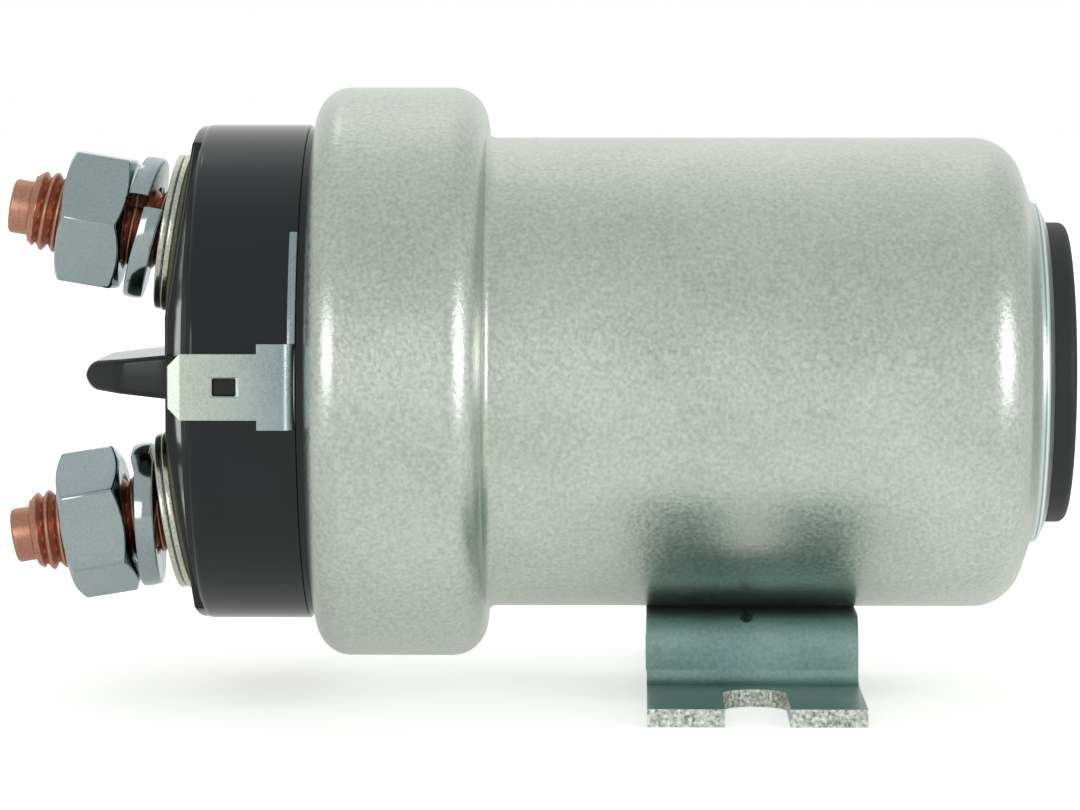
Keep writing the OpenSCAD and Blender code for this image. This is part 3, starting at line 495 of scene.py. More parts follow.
for face in can.data.polygons:
    face.material_index = 1 if face.center.x > (X_END + COLLAR_FROM) * MM else 0
dress(can, "zinc_can", "can", sharp=40)

# %% [markdown]
# ## Studs
#
# Each stud leans outwards by 9.4 degrees, so each has an axis of its own, which starts at the seat of its
# washers. A thread could be painted on with a bump, but its crests show against the background, so it is
# a real helix: the radius of the mesh rises and falls with the height and with the angle. The head of each
# stud is cut square to the relay's axis, where the contact disc meets it.

# %% The axes of the two studs
STUD_LEAN, STUD_OFF, X_SEAT = radians(9.4), 13.85, -57.1
STUD_AXES = {}
for stud_name, side in (("upper", 1), ("lower", -1)):
    STUD_AXES[stud_name] = Axis((X_SEAT, 0, AXIS_Z + side * STUD_OFF),
                                (-cos(STUD_LEAN), 0, side * sin(STUD_LEAN)),
                                (side * sin(STUD_LEAN), 0, cos(STUD_LEAN)))
print("seats", [tuple(round(v, 2) for v in a.origin) for a in STUD_AXES.values()])

# %% The thread and the shape of a stud
PITCH, CREST_R, ROOT_R, SHANK_R = 1.25, 4.0, 3.25, 3.98
FLAT_CREST, ROUND_ROOT = 1.12, 1.3  # above 1, crests are flat and roots are round
THREAD_END, POINT_R, POINT_LEN, POINT_EDGE, POINT_CENTRE = 15.3, 2.72, 1.9, 0.35, 0.02
TAPER_LEN, TAPER_STEEP, RUN_OUT_LEN, RUN_OUT_STEEP = 1.1, 0.7, 0.15, 4
HEAD_R, HEAD_AT, HEAD_T, HEAD_EDGE, X_CONTACT = 7.0, -5.5, 6, 0.2, -48.1
STUD_STEPS, ROWS_PER_PITCH = 96, 14


def thread_radius(along, angle):
    """Radius of a right-hand thread with flat crests and round roots."""
    turn = (along / PITCH + angle / (2 * pi)) % 1
    tooth = min(1, FLAT_CREST * (1 - abs(2 * turn - 1)))
    taper = max(0, along - (THREAD_END - TAPER_LEN)) * TAPER_STEEP
    run_out = max(0, along - (THREAD_END - RUN_OUT_LEN)) * RUN_OUT_STEEP
    most = max(CREST_R - taper - run_out, POINT_R)
    return min(ROOT_R + (CREST_R - ROOT_R) * (1 - (1 - tooth) ** ROUND_ROOT), most)


def threaded_stud(axis):
    """Two shells: the turned head and shank, and the thread with the plain point."""
    outline = [(HEAD_AT - HEAD_T, 0), (HEAD_AT - HEAD_T, HEAD_R), (HEAD_AT - HEAD_EDGE, HEAD_R),
               (HEAD_AT, HEAD_R - HEAD_EDGE), (HEAD_AT, SHANK_R), (0, SHANK_R)]
    count = round(THREAD_END / PITCH * ROWS_PER_PITCH)
    angles = [2 * pi * k / STUD_STEPS for k in range(STUD_STEPS)]
    rings = []
    for along in [THREAD_END * i / count for i in range(count + 1)]:
        rings.append([axis.at(along, thread_radius(along, angle), angle) for angle in angles])
    point = [(THREAD_END, POINT_R, 0), (THREAD_END + POINT_LEN, POINT_R, POINT_EDGE),
             (THREAD_END + POINT_LEN, POINT_CENTRE, 0)]
    for a, r in rounded(point, closed=False, steps=6):
        rings.append([axis.at(a, r, angle) for angle in angles])
    verts, faces = skinned(rings)
    faces.append(list(range(len(verts) - STUD_STEPS, len(verts))))
    return [turned(outline, axis, STUD_STEPS, closed=False), (verts, faces)]


print("the thread has", round(THREAD_END / PITCH, 1), "turns of", PITCH, "mm")

# %% Both studs, cut square at the contact disc
def cut_square(made, x):
    """Cuts off what lies past a plane square to the relay's axis."""
    shape = bmesh.new()
    shape.from_mesh(made.data)
    cut = bmesh.ops.bisect_plane(shape, geom=shape.verts[:] + shape.edges[:] + shape.faces[:],
                                 plane_co=(x * MM, 0, 0), plane_no=(1, 0, 0), clear_outer=True)
    edges = [e for e in cut["geom_cut"] if isinstance(e, bmesh.types.BMEdge)]
    bmesh.ops.contextual_create(shape, geom=edges)
    shape.to_mesh(made.data)
    shape.free()


for stud_name, axis in STUD_AXES.items():
    stud = join("threaded_stud_" + stud_name, threaded_stud(axis))
    cut_square(stud, X_CONTACT)
    dress(stud, "copper", "stud_" + stud_name, sharp=45)

# %% [markdown]
# ## Nuts and washers
#
# A nut is a hexagon that is turned at 30 degrees on both ends, which leaves the curved edges that every
# nut has. It could be a hexagonal prism cut by a cone, but here its outline is found angle by angle, which
# gives clean rows of faces: the flats, a small radius at each corner, and the height at which the turned
# cone meets that radius. A bevel leaves the narrow bright line that wear leaves on each edge.

# %% Hexagon nuts
NUT_AF, NUT_H, NUT_AT, NUT_CORNER, CORNER_HALF = 12.96, 6.5, 5.29, 0.35, radians(1.6)
FACE_R, FACE_RIM, BORE_R, CONE, LEAST_DROP = 6.25, 0.1, 4.04, tan(radians(30)), 0.02
BORE_BEVEL = ((0.55, 0), (0.05, 0.5))  # how deep, and how much wider than the bore
NUT_EDGE, NUT_EDGE_LIMIT = 0.14, 24
NUT_TURNS = {"upper": 30, "lower": 57.5}  # how far each nut was tightened, in degrees
SIDE_DEGREES = (-30, -29.4, -28.8, -28, -26, -22, -16, -8, 0, 8, 16, 22, 26, 28, 28.8, 29.4)


def hexagon_radius(angle):
    """Distance from the axis to a hexagon with slightly rounded corners."""
    off_flat = (angle + pi / 6) % (pi / 3) - pi / 6
    flat = NUT_AF / 2 / cos(off_flat)
    middle = (NUT_AF / 2 - NUT_CORNER) / cos(pi / 6)
    off_corner = pi / 6 - abs(off_flat)
    within = NUT_CORNER ** 2 - (middle * sin(off_corner)) ** 2
    if within <= 0 or off_corner >= CORNER_HALF:
        return flat
    return min(flat, middle * cos(off_corner) + sqrt(within))


def nut_shell(axis, turn):
    angles = [radians(60 * n + d) for n in range(6) for d in SIDE_DEGREES]
    radii = [hexagon_radius(angle) for angle in angles]
    drops = [max(LEAST_DROP, (r - FACE_R) * CONE) for r in radii]
    rows = [[(a, BORE_R + wider)] * len(angles) for a, wider in BORE_BEVEL]
    rows += [[(0, FACE_R - FACE_RIM)] * len(angles), list(zip(drops, radii))]
    rows += [[(NUT_H - drop, r) for drop, r in zip(drops, radii)], [(NUT_H, FACE_R - FACE_RIM)] * len(angles)]
    rows += [[(NUT_H - a, BORE_R + wider)] * len(angles) for a, wider in reversed(BORE_BEVEL)]
    return skinned([[axis.at(NUT_AT + a, r, angle + turn + pi / 6) for angle, (a, r) in zip(angles, row)]
                    for row in rows], closed=True)


nuts = join("hexagon_nuts", [nut_shell(axis, radians(NUT_TURNS[n])) for n, axis in STUD_AXES.items()])
dress(round_edges(nuts, NUT_EDGE, limit=NUT_EDGE_LIMIT), "zinc_hardware", "hex_nuts", sharp=40)

# %% [markdown]
# A spring washer is one turn of square wire, cut through, whose ends stand apart. These two are loose and
# lie a little askew, so each has its own start, climb and lean. A screw modifier could make the turn, but
# not the lean, so the wire is swept round the stud: its section is placed at every few degrees, and its
# two ends are closed. The outer face of the wire is slightly barrelled, as rolled wire is, which draws one
# soft light along it.

# %% Split spring washers
WASHER_T, GAP, SEAL_T = 0.7, 0.03, 0.4
SPRING_AT, SPRING_H, WIRE_T, SPRING_R, SPRING_BORE = 2 * (WASHER_T + GAP), 3.8, 2.0, 7.25, 4.2
WIRE_EDGE, WIRE_BORE_EDGE, BARREL_IN, BARREL_OUT, BARREL_R = 0.3, 0.25, 0.22, 0.03, 3.5
SPLIT_HALF, SWEEP_STEPS = 5, 120
# For each washer: where it is split, in degrees, and its start, climb and lean, as shares of its rise.
SPLITS = {"upper": (294, (0.14, 0.99, 0.32)), "lower": (327, (0.42, 0.26, 0.42))}


def spring_washer_shell(axis, split, shares):
    section = rounded([(0, SPRING_BORE, WIRE_BORE_EDGE), (0, SPRING_R - BARREL_IN, WIRE_EDGE),
                       (WIRE_T / 2, SPRING_R + BARREL_OUT, BARREL_R), (WIRE_T, SPRING_R - BARREL_IN, WIRE_EDGE),
                       (WIRE_T, SPRING_BORE, WIRE_BORE_EDGE)], steps=5)
    start, turn = radians(split - SPLIT_HALF), radians(360 - 2 * SPLIT_HALF)
    rings = []
    for i in range(SWEEP_STEPS + 1):
        share = i / SWEEP_STEPS
        angle = start - turn * share
        rise = (SPRING_H - WIRE_T) * (shares[0] + shares[1] * share - shares[2] * cos(angle))
        rings.append([axis.at(SPRING_AT + rise + a, r, angle) for a, r in section])
    return skinned(rings, capped=True)


springs = join("split_spring_washers", [spring_washer_shell(STUD_AXES[n], *SPLITS[n]) for n in STUD_AXES])
dress(springs, "zinc_hardware", "spring_washers", sharp=50)

# %% [markdown]
# Two flat washers and one fibre seal lie under each spring washer. They are punched discs, so they are
# turned, with small edges, and stacked with a hair's gap between them, which shows as the dark line that
# the real stack has.

# %% Flat washers and fibre seals
WASHER_R, STUD_HOLE_R, SEAL_R = 7.95, 4.2, 8.2
SECOND_SMALLER, WASHER_EDGE, SEAL_EDGE = 0.12, 0.2, 0.1


def disc_shell(axis, start, thick, outer_r, edge):
    outline = rounded([(start, STUD_HOLE_R, edge), (start, outer_r, edge), (start + thick, outer_r, edge),
                       (start + thick, STUD_HOLE_R, edge)], steps=4)
    return turned(outline, axis, 120)


flat = join("punched_washers", [
    disc_shell(axis, i * (WASHER_T + GAP), WASHER_T, WASHER_R - SECOND_SMALLER * i, WASHER_EDGE)
    for axis in STUD_AXES.values() for i in (0, 1)])
coat(flat, "washer_plating")
dress(flat, "zinc_hardware", "flat_washers", sharp=50)
seals = join("fibre_seals", [disc_shell(axis, -SEAL_T - GAP / 2, SEAL_T, SEAL_R, SEAL_EDGE)
                             for axis in STUD_AXES.values()])
dress(seals, "seal_fibre", "stud_seals", sharp=50)

# %% [markdown]
# ## The moulded cap
#
# The cap is moulded in one piece: a cup with a shallow dome, a raised bar that both studs stand on, and
# the barrier that keeps the two cable lugs apart. It could be one mesh with many loops, but each of the
# three has its own plain rule, so they are made one by one and joined. The round body is turned first. Its
# inside has a well in the middle, which leaves room for the rod's end when the plunger is in.

# %% The cap's round body
CAP_R, X_RIDGE, X_DOME, DOME_R, DOME_STEPS = 24.72, -58.0, -57.6, 97, 24
BEVEL_W, BEVEL_D, BEVEL_TOP_R, BEVEL_FOOT_R = 3.1, 0.9, 1.0, 0.7
STEP_X, STEP_IN, STEP_EDGE = 0.75, 0.3, 0.08
SKIRT_IN_R, SKIRT_R, SKIRT_EDGE, X_SKIRT_END = 25.06, 27.06, 2.0, -33.63
CAP_WALL, CHAMBER_R, WELL_R, X_WELL = 7.1, 20.5, 5.6, -52.99
X_BEVEL = X_DOME + (CAP_R - BEVEL_W) ** 2 / (2 * DOME_R)
x_step, x_skirt, x_floor = X_RIM - STEP_X, X_RIM + SHEET + GAP, X_RIDGE + CAP_WALL
dome = [(X_DOME + (r * r) / (2 * DOME_R), r)
        for r in [(CAP_R - BEVEL_W) * i / DOME_STEPS for i in range(DOME_STEPS)]]
shoulder = rounded([
    dome[-1] + (0,), (X_BEVEL, CAP_R - BEVEL_W, BEVEL_TOP_R), (X_BEVEL + BEVEL_D, CAP_R, BEVEL_FOOT_R),
    (x_step, CAP_R, STEP_EDGE), (x_step, CAP_R - STEP_IN, STEP_EDGE), (x_skirt, CAP_R - STEP_IN, 0),
    (x_skirt, SKIRT_IN_R, 0), (x_skirt, SKIRT_R, SKIRT_EDGE), (X_SKIRT_END, SKIRT_R, 0),
    (X_SKIRT_END, CHAMBER_R, 0), (x_floor, CHAMBER_R, 0), (x_floor, WELL_R, 0), (X_WELL, WELL_R, 0),
    (X_WELL, 0, 0)], closed=False, steps=6)
body_shell = turned(dome + shoulder[1:], RELAY, 192, closed=False)
print("the cap's body has", len(body_shell[0]), "vertices")

# %% [markdown]
# The bar's upper and lower ends follow the round of the cap, and its face slopes with the studs, so that
# each seal lies flat on it. It is made as a row of columns across the cap, one ring of six corners each.

# %% The bar under the studs
PAD_W, PAD_IN, PAD_SUNK, PAD_EDGE, PAD_EDGE_LIMIT, PAD_COLUMNS = 17.4, 0.12, 4.5, 0.3, 25, 12
lean = tan(STUD_LEAN)
x_pad_mid = X_SEAT + (SEAL_T + GAP) * cos(STUD_LEAN)
ridge_half = STUD_OFF - (x_pad_mid - X_RIDGE) / lean


def pad_x(h):
    """Where the bar's sloping face lies at a height from the relay's axis."""
    return max(X_RIDGE, x_pad_mid + (abs(h) - STUD_OFF) * lean)


columns = []
for i in range(PAD_COLUMNS + 1):
    y = PAD_W / 2 * (1 - 2 * i / PAD_COLUMNS)
    top = sqrt((CAP_R - PAD_IN) ** 2 - y * y)
    corners = [(pad_x(top), top), (X_RIDGE, ridge_half), (X_RIDGE, -ridge_half), (pad_x(top), -top),
               (X_RIDGE + PAD_SUNK, -top), (X_RIDGE + PAD_SUNK, top)]
    columns.append([Vector((x, y, AXIS_Z + h)) * MM for x, h in corners])
pad = round_edges(put_mesh("pad", *skinned(columns, capped=True)), PAD_EDGE, limit=PAD_EDGE_LIMIT)
print("the bar has", len(pad.data.vertices), "vertices")

# %% [markdown]
# The barrier is a tongue between the studs. It gets thinner and narrower towards its round tip, slowly at
# first and then quickly. So it is a row of rings again, each a rounded rectangle at one station.

# %% The barrier between the studs
BARRIER_LEN, BARRIER_ROOT_T, BARRIER_TIP_T, BARRIER_W, BARRIER_LEAN = 8.0, 4.3, 3.0, 21, 2.6
BARRIER_SUNK, BARRIER_EDGE, EDGE_SHARE, SHELF_SHARE = 3, 0.55, 0.9, 0.55
STATIONS, TIP_STEPS, THINNEST = (1.5, 3, 4.4, 5.4), 6, 0.0004
tip_r = BARRIER_TIP_T / 2
x_round = X_RIDGE - BARRIER_LEN + tip_r


def barrier_half(x):
    """Half the barrier's width at a station: it narrows slowly, then quickly near its tip."""
    out = X_RIDGE - x
    shelf = SHELF_SHARE * BARRIER_LEN
    if out <= 0:
        return BARRIER_W / 2
    if out <= shelf:
        return BARRIER_W / 2 - BARRIER_LEAN / 3 * out / shelf
    return BARRIER_W / 2 - BARRIER_LEAN / 3 - BARRIER_LEAN * 7 / 6 * (out - shelf) / (BARRIER_LEN - shelf)


def barrier_thick(x):
    """Half its thickness there: it tapers to the tip's radius and then follows that round."""
    if x < x_round:
        return sqrt(max(THINNEST, tip_r ** 2 - (x_round - x) ** 2))
    out = max(0.0, X_RIDGE - x)
    return BARRIER_ROOT_T / 2 + (tip_r - BARRIER_ROOT_T / 2) * min(1, out / (X_RIDGE - x_round))


stations = [X_RIDGE + BARRIER_SUNK, X_RIDGE] + [X_RIDGE - out for out in STATIONS] + [x_round]
stations += [x_round - tip_r * sin(pi / 2 * k / TIP_STEPS) for k in range(1, TIP_STEPS + 1)]
rings = []
for x in stations:
    half, thick = barrier_half(x), barrier_thick(x)
    edge = min(BARRIER_EDGE, thick * EDGE_SHARE)
    ring = rounded([(half, thick, edge), (-half, thick, edge), (-half, -thick, edge), (half, -thick, edge)],
                   steps=4)
    rings.append([Vector((x, y, AXIS_Z + h)) * MM for y, h in ring])
wall_shell = skinned(rings, capped=True)
print("the barrier has", len(wall_shell[0]), "vertices")

# %% One cap out of three shells
SHADED_BEVEL_IN, SHADED_BEVEL_OUT = 0.3, 0.2
SHADED_BEVEL_FACING = (-0.995, -0.5)  # the slope of the bevel, between the dome and the side
cap = join("moulded_cap", [body_shell, shell_of(pad), wall_shell])
coat(cap, "cap_moulding", "cap_bevel_shaded")
# The bevel's faces get the duller copy of the moulding, which is painted shade.
for face in cap.data.polygons:
    out_at = (face.center / MM - RELAY.origin).yz.length
    on_bevel = CAP_R - BEVEL_W + SHADED_BEVEL_IN < out_at < CAP_R - SHADED_BEVEL_OUT
    on_bevel = on_bevel and face.center.x < (X_BEVEL + BEVEL_D) * MM
    face.material_index = 1 if on_bevel and SHADED_BEVEL_FACING[0] < face.normal.x < SHADED_BEVEL_FACING[1] else 0
dress(cap, "cap_moulding", "terminal_cap", sharp=38)

# %% [markdown]
# ## The blade terminal
#
# The blade is stamped from sheet, 0.8 mm thick, bent square at its wide shoulder and pushed into a slot
# of the cap, where its strip shows as a bright line. It could be a plane with thickness, but the tip and
# the bend change its section. So its section is pushed across as a prism, and boolean modifiers cut its
# outline, its hole and the shallow countersink that the punch leaves round the hole. Every stamped edge
# is then rounded a little.

# %% Prisms, and solids that cut one another
OVER = 1  # cutting solids reach this far past what they cut


def prism(name, outline, place, depth, edge=0):
    """Pushes an outline of (p, q) points by a depth. Place turns (p, q, depth) into a point in millimetres."""
    count = len(outline)
    verts = [Vector(place(p, q, d)) * MM for d in (0, depth) for p, q in outline]
    faces = [list(range(count)), list(range(count, 2 * count))]
    faces += [[k, (k + 1) % count, count + (k + 1) % count, count + k] for k in range(count)]
    made = put_mesh(name, verts, faces)
    return round_edges(made, edge) if edge else made


def combined(made, other, how):
    boolean = made.modifiers.new("solid", "BOOLEAN")
    boolean.operation, boolean.object, boolean.solver = how, other, "EXACT"
    applied(made)
    bpy.data.objects.remove(other)
    return made


print("cutting solids reach", OVER, "mm past what they cut")

# %% The blade and its bend
BLADE_T, BLADE_W, SHOULDER_W, X_BEND, BLADE_LEN, SHOULDER_LEN = 0.8, 6.3, 8.2, -44.75, 12.1, 3.6
BLADE_OFF_CAP, BEND_R, BEND_IN_R, BLADE_EDGE, BLADE_EDGE_LIMIT = 0.4, 1.5, 0.2, 0.16, 50
TIP_T, TIP_LONG, TIP_CORNER, TIP_UNDER_R, TIP_OUT_R, TIP_SLOPE_R = 0.3, 1.2, 1.2, 0.08, 0.12, 0.3
NUDGE, FACE_DEPTH = 0.001, 12
STRIP_TOP, STRIP_IN_R, STRIP_OUT_R = 14.6, 18.52, 25.07
half, wide = BLADE_W / 2, SHOULDER_W / 2
x_end = X_BEND + BLADE_T
x_narrow, x_tip = x_end - SHOULDER_LEN, x_end - BLADE_LEN
y_under = -(CAP_R + BLADE_OFF_CAP)
y_out = y_under - BLADE_T
profile = rounded([(x_tip, y_under - (BLADE_T - TIP_T) / 2, TIP_UNDER_R),
                   (x_tip, y_out + (BLADE_T - TIP_T) / 2, TIP_OUT_R), (x_tip + TIP_LONG, y_out, TIP_SLOPE_R),
                   (x_end, y_out, BEND_R), (x_end, -STRIP_IN_R, 0), (X_BEND, -STRIP_IN_R, 0),
                   (X_BEND, y_under, BEND_IN_R), (x_tip + TIP_LONG, y_under, TIP_SLOPE_R)], steps=8)
blade = prism("stamped_blade", profile, lambda p, q, d: (p, q, AXIS_Z - wide - OVER + d), SHOULDER_W + 2 * OVER)
lower_edge = [(x_tip - NUDGE, -half + TIP_CORNER), (x_tip + TIP_CORNER, -half), (x_narrow, -half),
              (x_narrow, -wide), (x_end + OVER, -wide)]
outline = lower_edge + [(x, -h) for x, h in reversed(lower_edge)]
cutter = prism("face", outline, lambda p, q, d: (p, y_out - OVER + d, AXIS_Z + q), FACE_DEPTH)
combined(blade, cutter, "INTERSECT")
print("the blade is", BLADE_W, "mm wide and", BLADE_LEN, "mm long")

# %% Its hole, with the countersink round it
HOLE_FROM, HOLE_TO, HOLE_HALF, HOLE_R, HOLE_DEPTH = 4.25, 6.55, 0.85, 0.2, 3
# The countersink's wide and narrow ends: depth, and how far they reach past the hole's ends and sides.
SINK_ENDS = ((-0.12, 0.6, 0.82, 0.25), (0.12, 0, 0, 0))
SINK_FACES = [[0, 1, 2, 3], [7, 6, 5, 4], [0, 4, 5, 1], [1, 5, 6, 2], [2, 6, 7, 3], [3, 7, 4, 0]]


def rectangle(left, right, high):
    return [(left, -high), (right, -high), (right, high), (left, high)]


hole = rounded([(x_tip + x, z, HOLE_R) for x, z in rectangle(HOLE_FROM, HOLE_TO, HOLE_HALF)], steps=4)
cutter = prism("hole", hole, lambda p, q, d: (p, y_under + OVER - d, AXIS_Z + q), HOLE_DEPTH)
combined(blade, cutter, "DIFFERENCE")
sink = []
for depth, left, right, high in SINK_ENDS:
    sink += [Vector((x_tip + x, y_out + depth, AXIS_Z + z)) * MM
             for x, z in rectangle(HOLE_FROM - left, HOLE_TO + right, HOLE_HALF + high)]
combined(blade, put_mesh("countersink", sink, SINK_FACES), "DIFFERENCE")
round_edges(blade, BLADE_EDGE, limit=BLADE_EDGE_LIMIT)
print("the hole is", round(HOLE_TO - HOLE_FROM, 2), "by", 2 * HOLE_HALF, "mm")

# %% The strip along the cap's rim, and one terminal out of both
STRIP_EDGE, STRIP_STEPS = 0.12, 24


def rim_arc(radius, from_h, to_h):
    """Points on the camera's side of a circle round the relay's axis, between two heights."""
    heights = [from_h + (to_h - from_h) * k / STRIP_STEPS for k in range(STRIP_STEPS + 1)]
    return [(h, -sqrt(radius ** 2 - h * h)) for h in heights]


outline = rim_arc(STRIP_OUT_R, -wide, STRIP_TOP) + rim_arc(STRIP_IN_R, STRIP_TOP, -wide)
strip = prism("strip", outline, lambda p, q, d: (X_BEND + d, q, AXIS_Z + p), BLADE_T, STRIP_EDGE)
terminal = join("stamped_terminal", [shell_of(blade), shell_of(strip)])
dress(terminal, "tinned_blade", "blade_terminal", sharp=35)

# %% [markdown]
# ## The foot bracket
#
# The bracket is one strip of 1.7 mm steel, bent four times and welded under the can. Each foot has an
# open slot, and a groove is pressed across each upper bend to stiffen it. It could be a bent plane with
# thickness, but a pushed outline keeps the bends round and the sheet even. The outline is pushed along X,
# the slots and grooves are cut by booleans, and the sheared edges get the finish of cut metal.

# %% The bracket's bent strip
BRACKET_H, BRACKET_W, STRIP_T, LEG, FOOT = 8.25, 20.8, 1.7, 11.0, 30.4
WEB_BEND, FOOT_BEND = 3.0, 1.4
half_profile = rounded([(0, BRACKET_H, 0), (LEG, BRACKET_H, WEB_BEND), (LEG, STRIP_T, FOOT_BEND),
                        (FOOT, STRIP_T, 0), (FOOT, 0, 0), (LEG - STRIP_T, 0, FOOT_BEND + STRIP_T),
                        (LEG - STRIP_T, BRACKET_H - STRIP_T, WEB_BEND - STRIP_T), (0, BRACKET_H - STRIP_T, 0)],
                       closed=False, steps=10)
foot_end = half_profile.index((FOOT, 0))
upper_side, under_side = half_profile[:foot_end], half_profile[foot_end:]
far_under, far_upper = ([(-y, z) for y, z in reversed(some)] for some in (under_side, upper_side))
outline = upper_side + under_side + far_under[1:] + far_upper[:-1]
bracket = prism("bent_bracket", outline, lambda p, q, d: (d - BRACKET_W / 2, p, q), BRACKET_W)
print("the bracket's outline has", len(outline), "points")

# %% Its slots and pressed grooves
SLOT_R, SLOT_IN, SLOT_STEPS, SLOT_PAST, SLOT_DEPTH = 3.1, 15.8, 24, 2, 4
GROOVE_ASIDE, GROOVE_FROM, GROOVE_RAMP, GROOVE_END, GROOVE_R = 0.6, 4, 5, 14, 0.7
BRACKET_EDGE, BRACKET_EDGE_LIMIT = 0.2, 40
for sign in (-1, 1):
    slot = [(-SLOT_R * cos(pi * k / SLOT_STEPS), sign * (SLOT_IN + SLOT_R - SLOT_R * sin(pi * k / SLOT_STEPS)))
            for k in range(SLOT_STEPS + 1)]
    slot += [(SLOT_R, sign * (FOOT + SLOT_PAST)), (-SLOT_R, sign * (FOOT + SLOT_PAST))]
    combined(bracket, prism("slot", slot, lambda p, q, d: (p, q, d - OVER), SLOT_DEPTH), "DIFFERENCE")
    press_mark = Axis((sign * GROOVE_ASIDE, sign * GROOVE_FROM, BRACKET_H), (0, sign, 0), (0, 0, 1))
    groove = turned([(0, 0), (GROOVE_RAMP, GROOVE_R), (GROOVE_END, GROOVE_R), (GROOVE_END, 0)], press_mark, 24,
                    closed=False)
    combined(bracket, put_mesh("groove", *groove), "DIFFERENCE")
round_edges(bracket, BRACKET_EDGE, 2, BRACKET_EDGE_LIMIT)
print("slots", 2 * SLOT_R, "mm wide")

# %% Which of its faces are sheared
END_FACING, FOOT_FACING, SLOT_FLAT = 0.3, 0.5, 0.5
END_WITHIN, FOOT_WITHIN, SLOT_WITHIN = 0.3, 0.2, 0.2
# Sheared faces get the cut finish, whose near-white specks are painted glints.
coat(bracket, "zinc_bracket", "zinc_cut_and_glints")
for face in bracket.data.polygons:
    towards, at = face.normal, face.center / MM
    cut_end = abs(towards.x) > END_FACING and abs(at.x) > BRACKET_W / 2 - END_WITHIN
    cut_foot = abs(towards.y) > FOOT_FACING and abs(at.y) > FOOT - FOOT_WITHIN
    cut_slot = at.z < STRIP_T and abs(towards.z) < SLOT_FLAT and abs(at.y) > SLOT_IN - SLOT_WITHIN
    face.material_index = 1 if cut_end or cut_foot or cut_slot else 0
dress(bracket, "zinc_bracket", "foot_bracket", sharp=35)

# %% [markdown]
# ## The end plug
#
# A rubber disc closes the can's mouth. It is moulded round, so it is turned. Only its edge shows in the
# picture, so its face stays plain, with a shallow ring such as a mould leaves.

# %% The plug
PLUG_R, X_NECK, X_PLUG, PLUG_ROUND = 15.0, 28.2, 31.35, 0.8
PLUG_LOOSE, PLUG_NECK_EDGE, PLUG_BACK_EDGE = 0.03, 0.1, 0.12
RING_DEEP, RING_EDGE, RING_RADII = 0.35, 0.2, (12.2, 11.8, 9.2, 8.8)
neck_r = MOUTH_R - PLUG_LOOSE
ring = [(X_PLUG - deep, r, RING_EDGE) for deep, r in zip((0, RING_DEEP, RING_DEEP, 0), RING_RADII)]
plug_outline = rounded([(X_NECK, 0, 0), (X_NECK, neck_r, PLUG_NECK_EDGE), (X_COLLAR + GAP, neck_r, 0),
                        (X_COLLAR + GAP, PLUG_R, PLUG_BACK_EDGE), (X_PLUG, PLUG_R, PLUG_ROUND)]
                       + ring + [(X_PLUG, 0, 0)], closed=False, steps=6)
plug = put_mesh("rubber_plug", *turned(plug_outline, steps=160, closed=False))
dress(plug, "plug_rubber", "end_plug", sharp=40)

# %% [markdown]
# ## The two springs inside
#
# Both coil springs keep the meshes of the frame, but a spring has to shorten when the plunger comes in.
# Each gets an object of its own with a copy of that mesh, which rides on its body. The share of its length
# that is left at the end of the stroke is printed, but the copy is not pressed together here.

# %% Copies of the springs, on their bodies
# For each: the body that it rides on, the joint of its stroke, its seat along X, its length, the stroke.
SPRINGS = {"return_spring": ("housing", "plunger_slide", -11.92, 16.14, 4.0),
           "contact_spring": ("plunger_group", "contact_overtravel", -36.1, 5.08, 1.0)}
for node_name, (body, joint, x_seat, long, stroke) in SPRINGS.items():
    node_object = frame["nodes"][node_name]
    spring = bpy.data.objects.new("coiled_" + node_name, node_object.data.copy())
    bpy.context.scene.collection.objects.link(spring)
    spring.matrix_world = node_object.matrix_world
    dress(spring, slot_of[node_name], node_name, sharp=40, body=body)
    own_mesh(spring)
    print(spring.name, "keeps", round(1 - stroke / long, 3), "of its length")

# %% [markdown]
# ## Table and light
#
# The relay stands in a white tent: whitest behind, dimmer above and at the sides, and dimmest towards the
# camera, where the opening is. A real tent could be modelled, but its light depends on the direction alone,
# so the world is the tent. The camera sees it white everywhere, as a plain background for every view.

# %% The tent
SIDES_DIMMER, DIM_BELOW, WHITE_ABOVE = -1.2, -0.4, 0.7  # in the depth of a direction, from -1 to 1
world = bpy.data.worlds.new("tent")
bpy.context.scene.world = world
world.use_nodes = True
sky = world.node_tree
sky.nodes.clear()
direction = add(sky, "ShaderNodeTexCoord").outputs["Generated"]
parts_of = add(sky, "ShaderNodeSeparateXYZ", {"Vector": direction})
aside = add(sky, "ShaderNodeMath", {0: parts_of.outputs["X"]}, operation="ABSOLUTE")
behind = add(sky, "ShaderNodeMath", {0: aside.outputs["Value"], 1: SIDES_DIMMER, 2: parts_of.outputs["Y"]},
             operation="MULTIPLY_ADD")
depth_share = add(sky, "ShaderNodeMapRange",
                  {"Value": behind.outputs["Value"], "From Min": DIM_BELOW, "From Max": WHITE_ABOVE,
                   "To Min": 0.0, "To Max": 1.0}, interpolation_type="SMOOTHSTEP")
camera_sees = add(sky, "ShaderNodeLightPath").outputs["Is Camera Ray"]
share = add(sky, "ShaderNodeMath", {0: depth_share.outputs["Result"], 1: camera_sees}, operation="MAXIMUM")
tent_colour = add(sky, "ShaderNodeMix",
                  {"Factor": share.outputs["Value"], "A": colour("#d2d6d4"), "B": colour("#ffffff")},
                  data_type="RGBA")
tent = add(sky, "ShaderNodeBackground", {"Color": tent_colour.outputs[2], "Strength": 1.0})
add(sky, "ShaderNodeOutputWorld", {"Surface": tent.outputs["Background"]})
print("the tent has", len(sky.nodes), "nodes")
